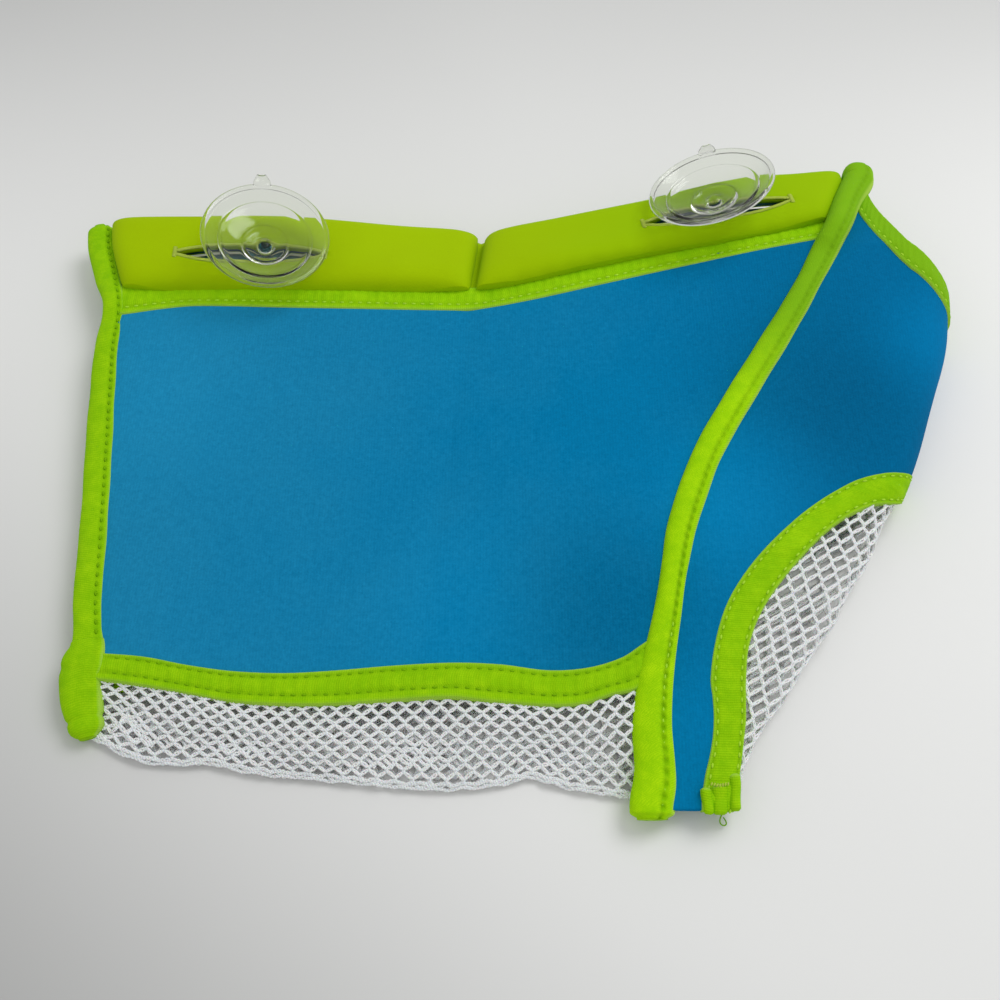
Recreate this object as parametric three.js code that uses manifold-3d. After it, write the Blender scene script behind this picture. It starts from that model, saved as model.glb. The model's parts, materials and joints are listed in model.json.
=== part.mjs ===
// Corner bath toy pouch lying on its front: neoprene back in two halves, wrapped front, net bottom.
// Millimetres, +Z up, +Y towards the mouth, +X to the side where the front panel bulges out.
import * as THREE from 'three';
import { mergeVertices } from 'three/addons/utils/BufferGeometryUtils.js';
import Module from 'manifold-3d';

const wasm = await Module();
wasm.setup();

// Outline of the back, with y = 0 at the middle of the pouch and x = 0 under the crease's mouth end
const leftSeamTop = { x: -175, y: 134 };
const leftSeamBottom = { x: -143, y: -103 };
const creaseMouth = { x: 0, y: 130 };
const creaseFoot = { x: -27, y: -118 };
const rightSeamTop = { x: 173, y: 153 };
const rightSeamBottom = { x: 62, y: -131 };
// How far the right seam has swept out, as a share of its sweep, at shares of its height
const rightSeamShares = [
  [0, 0], [0.11, 0.016], [0.29, 0.1], [0.47, 0.255], [0.56, 0.38], [0.76, 0.715], [1, 1],
];

// Heights of the back's underside above the table, at the bottom and at the hem of the band
const leftFootHeight = 6.5;
const leftHemHeight = 13;
const creaseFootHeight = 8;
const creaseHemHeight = 13.5;
const rightFootHeight = 6.5;
const rightHemHeight = 31;
const creaseBandTilt = 7;
const rightBandTilt = 8;

// Lines across the back
const hemLineY = { left: 89.5, crease: 89, right: 112 };
const tapeLineY = { left: -72, crease: -77, right: -72 };
const tapeSag = 5;
const netFootY = { left: -104, crease: -119, right: -122 };
const hemWidth = 9;
const padHeight = 40;
const notchDip = 5;
const notchReach = 24;
const tapeWidth = 12.7;

// Fabrics
const neoprene = 2.5;
const tapeThickness = 3.3;
const netThickness = 1.4;
const clothGap = 0.4;
const leftRoll = { width: 10.5, height: 6.5, play: 0.8 };
const rightRoll = { width: 13.5, height: 9, play: 0.4 };
const rollTopOverrun = 6;
// The right binding wraps the pad's end: it grows this much taller between these lines
const rollWrap = { rise: 6, low: 104, high: 122 };
const knob = { width: 16, height: 6.8, length: 28 };

// Pads, stiffeners and slots
const padThickness = 11;
const padEdge = 3;
const padSkin = 1.7;
const padEndGap = 3.5;
const padSeamAllowance = 4;
const crownPower = 6;
// The cavity's roof repeats the pad's crown between these shares of its width and height
const cavityAcross = [0.1, 0.9];
const cavityAlong = [0.15, 0.85];
const creaseStripThickness = 2.2;
const stiffenerThickness = 2;
const stiffenerPlay = 1.1;
const slotLength = 67;
const slotOpening = 7.6;
// Middles of the slots, as shares of the pads' width from the seams and of their height
const slotCentre = { left: [0.386, 0.43], right: [0.3125, 0.42] };
const slotPlay = 1.4;
const slotPower = 4;
const slotProbe = 0.1;
const edgingWidth = 1.1;
const edgingRise = 0.7;

// Suction cups
const cupDiameter = 56;
const cupDepth = 8;
const cupWall = 1.3;
const cupRingDiameter = 40;
const cupRingRise = 0.9;
const hubDiameter = 19.5;
const hubThickness = 2.4;
const hubLift = 2.8;
const neckDiameter = 5;
const headDiameter = 10;
const headThickness = 1.4;
const headPlay = 0.4;
const headTaper = 0.7;
const hubTaper = 0.8;
// The dish rises by this power of the share from hub to rim, and its wall is drawn at these shares
const dishPower = 1.5;
const wallShares = [0.2, 0.45, 0.7, 0.9];
const innerShare = 0.3;
const tabWidth = 6;
const tabLength = 4;
const tabThickness = 2.4;
// Where the cups stand along their slots, and how far they lean along and across them
const leftCup = { shift: 6.6, along: 11.4, across: 7 };
const rightCup = { shift: -0.5, along: -11.1, across: -4.5 };

// Front panel, its rim and the net below it
const bulgeReach = 209;
const bulgeFootReach = 95;
// The bulge's reach, as a share of its growth, at shares of the height from foot to mouth
const bulgeShares = [
  [0, 0], [0.058, 0.014], [0.13, 0.112], [0.3, 0.38], [0.44, 0.57], [0.6, 0.752], [0.72, 0.858], [0.84, 0.95],
  [1, 1],
];
const bulgeTopY = 110;
const bendRoundness = 1.3;
const rimY = { seam: 149, shoulder: 120, side: 80, table: 78 };
const leafRimY = { table: 78, seam: 126 };
const archTableY = 12;
const archPower = 3;
// Blue edge of the front tape: shares of the width from seam to bulge, at shares of the seam's height
const tapeEdgeShares = [
  [0, 0.42], [0.063, 0.49], [0.14, 0.35], [0.22, 0.245], [0.275, 0.24], [0.34, 0.34], [0.4, 0.49], [0.44, 0.66],
  [0.47, 0.95],
];
const rimWidth = 9;
const leafWidth = 132;
const leafThickness = 2;
const leafFootY = -84;
const netMargin = 4;
// Leaf edges: shares of the drop or rise towards the seam, at shares of the leaf's width
const leafRimShares = [[0, 1], [0.12, 0.55], [0.3, 0.1], [0.5, 0], [1, 0]];
const leafArchShares = [[0, 1], [0.15, 0.55], [0.35, 0.12], [0.55, 0], [1, 0]];
const panelLeftShare = 0.64;
const sideNetEndShare = 2.3;
const sideNetGap = 1.2;
const netEdgeShare = 0.015;
const foldedEnd = { length: 13, height: 1.6 };
const flapStartShare = 0.35;
const flapEndShare = 1.4;
const tackInsetShare = 0.1;
const tackThickness = 0.8;
const tackLength = 1.6;
const stripFootGap = 2;
const rollTipShare = 0.03;
const tipFloor = 0.2;
const knobTipShare = 0.3;

// Steps and holes of the meshes
const acrossSteps = 12;
const alongSteps = 8;
const rollSteps = 20;
const rollSides = 10;
const turnSteps = 22;
const tapeSteps = 20;
const padSteps = { across: 16, along: 8 };
const plateSteps = 4;
const slotSteps = 12;
const tabSides = 12;
const flapSteps = { across: 6, along: 4 };
const backNetRows = 4;
const sideNetSteps = { across: 6, along: 10 };
const underNetSteps = { across: 8, along: 8 };
const leafNetSteps = { across: 8, along: 5 };
const netPitch = 13;
const holeShare = 0.74;
const netFullness = 1.6;

const full = Math.PI * 2;
const lerp = THREE.MathUtils.lerp;
const radians = THREE.MathUtils.degToRad;
const up = new THREE.Vector3(0, 0, 1);

// Smooth value through a table of [place, value] pairs
function through(table, place) {
  const last = table.length - 1;
  const at = THREE.MathUtils.clamp(place, table[0][0], table[last][0]);
  let i = 0;
  while (i < last - 1 && at > table[i + 1][0]) i += 1;
  const slope = (a, b) => (table[b][1] - table[a][1]) / (table[b][0] - table[a][0]);
  const span = table[i + 1][0] - table[i][0];
  const s = (at - table[i][0]) / span;
  const start = slope(Math.max(i - 1, 0), i + 1) * span;
  const end = slope(i, Math.min(i + 2, last)) * span;
  const rise = table[i + 1][1] - table[i][1];
  return table[i][1] + s * (start + s * (3 * rise - 2 * start - end + s * (start + end - 2 * rise)));
}

// Plan lines of the seams and the crease at a given y
const share = (y, low, high) => (y - low.y) / (high.y - low.y);
const leftX = (y) => lerp(leftSeamBottom.x, leftSeamTop.x, share(y, leftSeamBottom, leftSeamTop));
const creaseX = (y) => lerp(creaseFoot.x, creaseMouth.x, share(y, creaseFoot, creaseMouth));
const rightX = (y) => lerp(rightSeamBottom.x, rightSeamTop.x,
  through(rightSeamShares, share(y, rightSeamBottom, rightSeamTop)));

// Height of the back's underside along a seam or the crease: rising to the hem, then tipped back
function backHeight(y, foot, hem, footY, hemY, tilt) {
  const below = Math.min(y, hemY);
  const above = Math.max(y - hemY, 0);
  return lerp(foot, hem, (below - footY) / (hemY - footY)) - above * Math.tan(radians(tilt));
}
const leftZ = (y) => backHeight(y, leftFootHeight, leftHemHeight, leftSeamBottom.y, hemLineY.left, 0);
const creaseZ = (y) => backHeight(y, creaseFootHeight, creaseHemHeight, creaseFoot.y, hemLineY.crease,
  creaseBandTilt);
const rightZ = (y) => backHeight(y, rightFootHeight, rightHemHeight, rightSeamBottom.y, hemLineY.right,
  rightBandTilt);

// The back's two halves: t runs from the outer seam to the crease
const halves = {
  left: { outerX: leftX, outerZ: leftZ, name: 'left', roll: leftRoll.width / 2 + leftRoll.play },
  right: { outerX: rightX, outerZ: rightZ, name: 'right', roll: rightRoll.width / 2 + rightRoll.play },
};
// How far a seam's roll reaches sideways where the seam slants
function rollReach(half, y) {
  const slope = (half.outerX(y + clothGap) - half.outerX(y - clothGap)) / (2 * clothGap);
  return half.roll * Math.hypot(1, slope) + clothGap / 2;
}
function backPoint(half, t, y) {
  const side = half.name === 'left' ? 1 : -1;
  const outer = half.outerX(y) + side * rollReach(half, y);
  const inner = creaseX(y) - side * clothGap;
  const reach = (half.outerX(y) - creaseX(y));
  const x = lerp(outer, inner, t);
  const z = lerp(creaseZ(y), half.outerZ(y), (x - creaseX(y)) / reach);
  return new THREE.Vector3(x, y, z);
}
const lineY = (line, half, t) => lerp(line[half.name], line.crease, t);
const tapeTopY = (half, t) => lineY(tapeLineY, half, t) - tapeSag * Math.sin(Math.PI * t / 2) * (1 - t) * 2;
const netTopY = (half, t) => tapeTopY(half, t) - tapeWidth;

// Closed slab over a grid of points: low and high are offsets along the normal at (u, v)
function slab(pointAt, cols, rows, low, high, pierced = false) {
  const positions = [];
  const faces = [];
  const step = 1e-3;
  const frame = (u, v) => {
    const along = pointAt(Math.min(u + step, 1), v).sub(pointAt(Math.max(u - step, 0), v));
    const across = pointAt(u, Math.min(v + step, 1)).sub(pointAt(u, Math.max(v - step, 0)));
    return { base: pointAt(u, v), normal: along.cross(across).normalize() };
  };
  const add = (u, v) => {
    const { base, normal } = frame(u, v);
    positions.push(...base.clone().addScaledVector(normal, high(u, v)).toArray());
    positions.push(...base.clone().addScaledVector(normal, low(u, v)).toArray());
    return positions.length / 3 - 2;
  };
  const both = (a, b, c) => {
    faces.push(a, b, c, a + 1, c + 1, b + 1);
  };
  const wall = (a, b) => {
    faces.push(a, a + 1, b, b, a + 1, b + 1);
  };
  const grid = [];
  for (let j = 0; j <= rows; j += 1) {
    grid.push([]);
    for (let i = 0; i <= cols; i += 1) grid[j].push(add(i / cols, j / rows));
  }
  for (let j = 0; j < rows; j += 1) {
    for (let i = 0; i < cols; i += 1) {
      const corner = [grid[j][i], grid[j][i + 1], grid[j + 1][i + 1], grid[j + 1][i]];
      if (pierced) {
        const u = (i + 0.5) / cols;
        const v = (j + 0.5) / rows;
        const du = holeShare / cols / 2;
        const dv = holeShare / rows / 2;
        const hole = [add(u, v - dv), add(u + du, v), add(u, v + dv), add(u - du, v)];
        for (let k = 0; k < 4; k += 1) {
          const next = (k + 1) % 4;
          both(corner[k], corner[next], hole[k]);
          both(corner[next], hole[next], hole[k]);
          wall(hole[next], hole[k]);
        }
      } else {
        both(corner[0], corner[1], corner[2]);
        both(corner[0], corner[2], corner[3]);
      }
    }
  }
  for (let i = 0; i < cols; i += 1) {
    wall(grid[0][i], grid[0][i + 1]);
    wall(grid[rows][i + 1], grid[rows][i]);
  }
  for (let j = 0; j < rows; j += 1) {
    wall(grid[j + 1][0], grid[j][0]);
    wall(grid[j][cols], grid[j + 1][cols]);
  }
  return closed(positions, faces);
}

// Indexed geometry whose faces point out
function closed(positions, faces) {
  const geometry = new THREE.BufferGeometry();
  geometry.setAttribute('position', new THREE.Float32BufferAttribute(positions, 3));
  const a = new THREE.Vector3();
  const b = new THREE.Vector3();
  const c = new THREE.Vector3();
  let volume = 0;
  for (let i = 0; i < faces.length; i += 3) {
    a.fromArray(positions, faces[i] * 3);
    b.fromArray(positions, faces[i + 1] * 3);
    c.fromArray(positions, faces[i + 2] * 3);
    volume += a.dot(b.cross(c));
  }
  geometry.setIndex(volume > 0 ? faces : faces.toReversed());
  return geometry;
}

// Solid through rings of equal counts of points, closed at both ends
function loft(rings) {
  const positions = rings.flat().flatMap((p) => p.toArray());
  const faces = [];
  const n = rings[0].length;
  for (let r = 0; r < rings.length - 1; r += 1) {
    for (let i = 0; i < n; i += 1) {
      const a = r * n + i;
      const b = r * n + (i + 1) % n;
      faces.push(a, b, b + n, a, b + n, a + n);
    }
  }
  for (const [row, flip] of [[0, true], [rings.length - 1, false]]) {
    const middle = new THREE.Vector3();
    for (const p of rings[row]) middle.addScaledVector(p, 1 / n);
    positions.push(...middle.toArray());
    const centre = positions.length / 3 - 1;
    for (let i = 0; i < n; i += 1) {
      const a = row * n + i;
      const b = row * n + (i + 1) % n;
      faces.push(centre, flip ? b : a, flip ? a : b);
    }
  }
  return closed(positions, faces);
}

// Oval roll along a path; sizeAt gives its width and height at a share of the length
function roll(path, steps, sizeAt) {
  const rings = [];
  for (let i = 0; i <= steps; i += 1) {
    const s = i / steps;
    const tangent = path.getTangentAt(s);
    const across = tangent.clone().cross(up).normalize();
    const rise = across.clone().cross(tangent).normalize();
    const { width, height } = sizeAt(s);
    const ring = [];
    for (let k = 0; k < rollSides; k += 1) {
      const angle = k / rollSides * full;
      ring.push(path.getPointAt(s)
        .addScaledVector(across, Math.cos(angle) * width / 2)
        .addScaledVector(rise, Math.sin(angle) * height / 2));
    }
    rings.push(ring);
  }
  return loft(rings);
}
const rounded = (s, tip) => Math.sqrt(Math.max(1 - (Math.max(tip - s, s - 1 + tip, 0) / tip) ** 2, tipFloor));

// Boolean helpers
function toSolid(geometry) {
  const bare = new THREE.BufferGeometry();
  bare.setAttribute('position', geometry.getAttribute('position').clone());
  if (geometry.index) bare.setIndex(geometry.index);
  const merged = mergeVertices(bare, 1e-4);
  return new wasm.Manifold(new wasm.Mesh({
    numProp: 3,
    vertProperties: new Float32Array(merged.getAttribute('position').array),
    triVerts: new Uint32Array(merged.index.array),
  }));
}
function toGeometry(solid) {
  const mesh = solid.getMesh();
  const geometry = new THREE.BufferGeometry();
  geometry.setAttribute('position', new THREE.Float32BufferAttribute(mesh.vertProperties, 3));
  geometry.setIndex(Array.from(mesh.triVerts));
  return geometry;
}

// Materials
const colours = {
  blue: 0x147db0, lime: 0x9fbb0c, green: 0x86c40c, white: 0xeceef0, clear: 0xdfe6ea, plate: 0xd8d8d4,
};
function material(colour, roughness) {
  return new THREE.MeshStandardMaterial({ color: colour, roughness, metalness: 0 });
}
const neopreneBlue = material(colours.blue, 0.9);
const padLime = material(colours.lime, 0.85);
const tapeGreen = material(colours.green, 0.85);
const netWhite = material(colours.white, 0.8);
const clearPvc = new THREE.MeshStandardMaterial({
  color: colours.clear, roughness: 0.1, metalness: 0, transparent: true, opacity: 0.4,
});
const plateWhite = material(colours.plate, 0.5);

function node(name, geometry, look) {
  const mesh = new THREE.Mesh(geometry, look);
  mesh.name = name;
  return mesh;
}

// Back panel, tape and net of one half
const flat = (value) => () => value;
function backSheet(half, lowY, highY, rows, low, high, pierced = false) {
  const width = Math.abs(half.outerX(0) - creaseX(0));
  const cols = pierced ? Math.round(width / netPitch) : acrossSteps;
  const at = (u, v) => backPoint(half, u, lerp(lowY(half, u), highY(half, u), v));
  const side = half.name === 'left' ? 1 : -1;
  const lower = side > 0 ? low : (u, v) => -high(u, v);
  const upper = side > 0 ? high : (u, v) => -low(u, v);
  return slab(at, cols, rows, lower, upper, pierced);
}
const hemY = (half, t) => lineY(hemLineY, half, t);
const panelLowY = (half, t) => tapeTopY(half, t) + clothGap;
const panelHighY = (half, t) => hemY(half, t) - clothGap;
const backPanel = (half) => backSheet(half, panelLowY, panelHighY, alongSteps, flat(0), flat(neoprene));
const backTape = (half) => backSheet(half, netTopY, tapeTopY, 2, flat(0), flat(tapeThickness));
const bandHem = (half) => backSheet(half, hemY, (h, t) => padFootY(h, t) - clothGap, 2, flat(0),
  flat(tapeThickness));

// The bottom net drops from the tape to the fold on the table
const backNetFootY = (half, t) => lineY(netFootY, half, t);
function backNet(half) {
  const side = half.name === 'left' ? 1 : -1;
  const width = Math.abs(half.outerX(netFootY.crease) - creaseX(netFootY.crease));
  const cols = Math.round(width / netPitch * netFullness);
  const at = (u, v) => {
    const top = netTopY(half, u) - clothGap;
    const y = lerp(backNetFootY(half, u), top, v);
    const point = backPoint(half, u, y);
    point.z = lerp(netDrop, backPoint(half, u, top).z, Math.sqrt(v));
    return point;
  };
  const low = side > 0 ? flat(0) : flat(-netThickness);
  const high = side > 0 ? flat(netThickness) : flat(0);
  return slab(at, cols, backNetRows, low, high, true);
}
const netDrop = netThickness * 2 + clothGap * 2;

// Band pads: cover, stiffener, slot and edging of one half
const notch = (half, t) => notchDip * THREE.MathUtils.smoothstep(
  1 - Math.abs(1 - t) * Math.abs(half.outerX(0)) / notchReach, 0, 1);
const padFootY = (half, t) => hemY(half, t) + hemWidth;
const padTopY = (half, t) => padFootY(half, t) + padHeight - notch(half, t);
const crown = (place) => Math.max(1 - (2 * place - 1) ** crownPower, 0);

function padFrame(half, inset) {
  const endShare = (padEndGap + inset) / Math.abs(half.outerX(0));
  return (u, v) => {
    const t = lerp(inset / Math.abs(half.outerX(0)), 1 - endShare, u);
    return backPoint(half, t, lerp(padFootY(half, t) + inset, padTopY(half, t) - inset, v));
  };
}
function padSlab(half, inset, low, high, cols, rows) {
  const side = half.name === 'left' ? 1 : -1;
  const lower = side > 0 ? low : (u, v) => -high(u, v);
  const upper = side > 0 ? high : (u, v) => -low(u, v);
  return slab(padFrame(half, inset), cols, rows, lower, upper);
}
const padTop = (u, v) => padEdge + (padThickness - padEdge) * Math.sqrt(Math.min(crown(u), crown(v)));

// Frame of a slot: its centre on the pad's top face, along the band and out of the pad
function slotFrame(half) {
  const [centre, level] = slotCentre[half.name];
  const at = padFrame(half, 0);
  const side = half.name === 'left' ? 1 : -1;
  const point = (u) => at(u, level);
  const along = point(centre + slotProbe).sub(point(centre - slotProbe)).multiplyScalar(side).normalize();
  const above = at(centre, level + slotProbe);
  const rough = above.sub(at(centre, level - slotProbe)).normalize();
  const out = along.clone().cross(rough).normalize();
  const across = out.clone().cross(along).normalize();
  const origin = point(centre).addScaledVector(out, padThickness);
  return { origin, along, across, out };
}
const slotHalf = (s, grow) => (slotOpening / 2) * (1 - s ** slotPower) + grow;
function lensPrism(half, low, high, grow) {
  const { origin, along, across, out } = slotFrame(half);
  const rings = [];
  for (const level of [low, high]) {
    const ring = [];
    for (const way of [1, -1]) {
      for (let i = 0; i < slotSteps; i += 1) {
        const s = way * lerp(-1, 1, i / slotSteps);
        const reach = Math.abs(s) === 1 ? 0 : slotHalf(s, grow);
        ring.push(origin.clone()
          .addScaledVector(along, s * (slotLength / 2 + grow))
          .addScaledVector(across, -way * reach)
          .addScaledVector(out, level));
      }
    }
    rings.push(ring);
  }
  return loft(rings);
}
const overrun = padThickness;
const cavityInset = padSeamAllowance;
const cavityTop = (u, v) => padTop(lerp(...cavityAcross, u), lerp(...cavityAlong, v)) - padSkin;
const cavityFloor = flat(padSkin);

function bandCover(half) {
  const outer = toSolid(padSlab(half, 0, flat(0), padTop, padSteps.across, padSteps.along));
  const inner = toSolid(padSlab(half, cavityInset, cavityFloor, cavityTop, acrossSteps, alongSteps));
  const slot = toSolid(lensPrism(half, -padThickness / 2, overrun, 0));
  return toGeometry(outer.subtract(inner).subtract(slot));
}
function stiffener(half) {
  const plate = toSolid(padSlab(half, cavityInset + stiffenerPlay,
    (u, v) => cavityTop(u, v) - stiffenerPlay - stiffenerThickness, (u, v) => cavityTop(u, v) - stiffenerPlay,
    acrossSteps, plateSteps));
  return toGeometry(plate.subtract(toSolid(lensPrism(half, -padThickness, overrun, slotPlay))));
}
function buttonholeEdge(half) {
  const outer = toSolid(lensPrism(half, clothGap, clothGap + edgingRise, edgingWidth));
  return toGeometry(outer.subtract(toSolid(lensPrism(half, -overrun, overrun, 0))));
}

// Strip of band cloth over the crease, between the two pads
function bandCrease() {
  const low = hemLineY.crease + hemWidth + clothGap;
  const high = low + padHeight - notchDip - 3 * clothGap;
  const at = (u, v) => {
    const y = lerp(low, high, v);
    const x = creaseX(y) + lerp(-1, 1, u) * (padEndGap - clothGap);
    return new THREE.Vector3(x, y, creaseZ(y));
  };
  return slab(at, plateSteps, alongSteps, flat(0), flat(creaseStripThickness));
}

// Suction cup: mushroom head, neck, hub and thin dished disc, turned round its own axis
function suctionCup() {
  const rim = cupDiameter / 2;
  const hub = hubDiameter / 2;
  const neck = neckDiameter / 2;
  const head = headDiameter / 2;
  const headTop = -(padSkin + 2 * stiffenerPlay + stiffenerThickness + headPlay);
  const hubFoot = clothGap + edgingRise + hubLift;
  const hubTop = hubFoot + hubThickness;
  const dish = (r) => hubTop + cupDepth * ((r - hub) / (rim - hub)) ** dishPower;
  const ring = cupRingDiameter / 2;
  const wallAt = (place) => [lerp(hub, rim, place), dish(lerp(hub, rim, place)) - cupWall];
  const outer = lerp(hub, rim, wallShares.at(-1));
  const inner = lerp(hub, rim, innerShare);
  const points = [
    [0, headTop - headThickness], [head * headTaper, headTop - headThickness],
    [head, headTop - headThickness / 3], [head, headTop], [neck, headTop], [neck, hubFoot],
    [hub * hubTaper, hubFoot], [hub, hubFoot + cupWall / 2], ...wallShares.map(wallAt),
    [rim - cupWall / 3, dish(rim) - cupWall * headTaper], [rim, dish(rim)],
    [rim - cupWall / 2, dish(rim) + cupWall / 3], [outer, dish(outer)],
    [ring + cupWall, dish(ring + cupWall)], [ring, dish(ring) + cupRingRise],
    [ring - cupWall, dish(ring - cupWall)], [inner, dish(inner)],
    [hub + cupWall / 2, dish(hub + cupWall / 2)],
    [hub, hubTop + cupRingRise], [hub - cupWall, hubTop - cupRingRise / 2], [neck, hubTop - cupRingRise],
    [0, hubTop - cupRingRise],
  ].map(([r, z]) => new THREE.Vector2(r, z));
  const turned = new THREE.LatheGeometry(points, turnSteps);
  turned.rotateX(Math.PI / 2);
  const body = toSolid(turned);
  const tab = new THREE.CylinderGeometry(tabWidth / 2, tabWidth / 2, tabThickness, tabSides);
  tab.rotateX(Math.PI / 2);
  tab.translate(0, rim + tabLength - tabWidth / 2, dish(rim) - tabThickness / 4);
  return toGeometry(body.add(toSolid(tab)));
}
function placedCup(name, half, place) {
  const { origin, along, across, out } = slotFrame(half);
  const cup = node(name, suctionCup(), clearPvc);
  const turn = new THREE.Matrix4().makeBasis(along, across, out);
  cup.quaternion.setFromRotationMatrix(turn);
  cup.rotateY(radians(place.along));
  cup.rotateX(radians(place.across));
  cup.position.copy(origin).addScaledVector(along, place.shift);
  return cup;
}

// Section of the front: q 0 to 1 over the top from the seam, 1 to 2 round the bulge, 2 to 3 on the table
const sideQ = 1.5;
const endQ = 3;
const tableZ = tapeThickness / 2;
const bulgeX = (y) => lerp(bulgeFootReach, bulgeReach,
  through(bulgeShares, (y - rightSeamBottom.y) / (bulgeTopY - rightSeamBottom.y)));
const seamEdgeX = (y) => rightX(y) + rollReach(halves.right, y);
function bend(y) {
  const topZ = rightZ(y) + neoprene / 2;
  const tall = (topZ - tableZ) / 2;
  const deep = Math.min(tall * bendRoundness, (bulgeX(y) - rightX(y)) / 2);
  return { tall, deep, turnX: bulgeX(y) - deep, midZ: tableZ + tall };
}
const tableLeftX = (y) => lerp(leftX(y), creaseX(y), panelLeftShare);
function frontPoint(q, y) {
  const { tall, deep, turnX, midZ } = bend(y);
  if (q <= 1) return new THREE.Vector3(lerp(seamEdgeX(y), turnX, q), y, midZ + tall);
  if (q >= 2) return new THREE.Vector3(lerp(turnX, tableLeftX(y), q - 2), y, tableZ);
  const angle = Math.PI / 2 - (q - 1) * Math.PI;
  return new THREE.Vector3(turnX + deep * Math.cos(angle), y, midZ + tall * Math.sin(angle));
}
// q on the upper side at a plan position
function frontShare(x, y) {
  const { deep, turnX } = bend(y);
  if (x <= turnX) return (x - seamEdgeX(y)) / (turnX - seamEdgeX(y));
  return 1 + (Math.PI / 2 - Math.acos(Math.min((x - turnX) / deep, 1))) / Math.PI;
}
const rimTable = [
  [0, rimY.seam], [1, rimY.shoulder], [sideQ, rimY.side], [2, rimY.table], [endQ, rimY.table],
];
const frontRimY = (q) => through(rimTable, q);
const seamY = (s) => lerp(rightSeamBottom.y, rightSeamTop.y, s);

// Edge of the front tape as [q, y] places, from the foot of the seam to the table's left end
function tapeEdge(offset) {
  const places = [];
  const top = tapeEdgeShares.at(-1)[0];
  const plan = Array.from({ length: tapeSteps + 1 }, (_, i) => {
    const s = i / tapeSteps * top;
    const y = seamY(s);
    return new THREE.Vector2(lerp(seamEdgeX(y), bulgeX(y), through(tapeEdgeShares, s)), y);
  });
  plan.forEach((p, i) => {
    const ahead = plan[Math.min(i + 1, plan.length - 1)].clone().sub(plan[Math.max(i - 1, 0)]).normalize();
    const x = Math.min(p.x + ahead.y * offset, bulgeX(p.y - ahead.x * offset));
    const y = p.y - ahead.x * offset;
    places.push([Math.min(frontShare(x, y), sideQ), y]);
  });
  for (let i = 1; i <= tapeSteps; i += 1) {
    const s = i / tapeSteps;
    places.push([lerp(sideQ, endQ, s), lerp(seamY(top), archTableY, 1 - (1 - s) ** archPower) - offset]);
  }
  return places;
}
const onFront = ([q, y]) => frontPoint(q, y);
function frontNormal(q, y) {
  const step = 1e-3;
  const across = frontPoint(q + step, y).sub(frontPoint(q - step, y));
  return across.cross(new THREE.Vector3(0, 1, 0)).normalize();
}
function ribbon(first, second, low, high) {
  const rings = first.map((a, i) => {
    const b = second[i];
    const normalA = frontNormal(...a);
    const normalB = frontNormal(...b);
    return [
      onFront(a).addScaledVector(normalA, high), onFront(b).addScaledVector(normalB, high),
      onFront(b).addScaledVector(normalB, low), onFront(a).addScaledVector(normalA, low),
    ];
  });
  return loft(rings);
}

// The wrapped front panel: v runs from the tape's edge to the seam and the rim
const panelFootY = rightSeamBottom.y + stripFootGap;
function frontPanel() {
  const edge = tapeEdge(-2 * clothGap).map(([q, y]) => [q, Math.max(y, panelFootY)]);
  const last = edge.length - 1;
  const corner = tapeSteps / last;
  const at = (u, v) => {
    const low = Math.min(Math.floor(u * last), last - 1);
    const [q, y] = [0, 1].map((k) => lerp(edge[low][k], edge[low + 1][k], u * last - low));
    const upQ = Math.max(u - corner, 0) / (1 - corner) * endQ;
    const upY = u < corner ? lerp(panelFootY, rimY.seam, u / corner) : frontRimY(upQ);
    return frontPoint(lerp(q, upQ, v), lerp(y, upY, v));
  };
  return slab(at, last, alongSteps, flat(-neoprene / 2), flat(neoprene / 2));
}
const frontTape = () => ribbon(tapeEdge(0), tapeEdge(tapeWidth), -tapeThickness / 2, tapeThickness / 2);
function frontRim() {
  const places = Array.from({ length: tapeSteps + 1 }, (_, i) => i / tapeSteps * endQ);
  const first = places.map((q) => [q, frontRimY(q) + clothGap]);
  const second = places.map((q) => [q, frontRimY(q) + rimWidth]);
  return ribbon(first, second, -tapeThickness / 2, tapeThickness / 2);
}

// Nets of the bottom: beside the tape round the bulge, and flat on the table
const netSlab = (at, steps) => slab(at, steps.across, steps.along, flat(-netThickness / 2),
  flat(netThickness / 2), true);
function sideNet() {
  const edge = tapeEdge(tapeWidth + sideNetGap).slice(0, tapeSteps + 1);
  const table = edge.map(([q, y]) => [y, q]);
  const low = netFootY.right - clothGap;
  const high = edge.at(-1)[1] - clothGap;
  const at = (u, v) => {
    const y = lerp(low, high, v);
    return frontPoint(lerp(through(table, y) + netEdgeShare, sideNetEndShare, u), y);
  };
  return netSlab(at, sideNetSteps);
}
function underNet() {
  const at = (u, v) => {
    const q = lerp(sideNetEndShare, endQ, u);
    const low = lerp(netFootY.right, netFootY.crease, u) + netMargin;
    const point = frontPoint(q, lerp(low, archTableY - tapeWidth - netMargin, v));
    return point.addScaledVector(up, netThickness / 2 - tableZ).add(new THREE.Vector3(-2 * clothGap, 0, 0));
  };
  return netSlab(at, underNetSteps);
}

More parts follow.
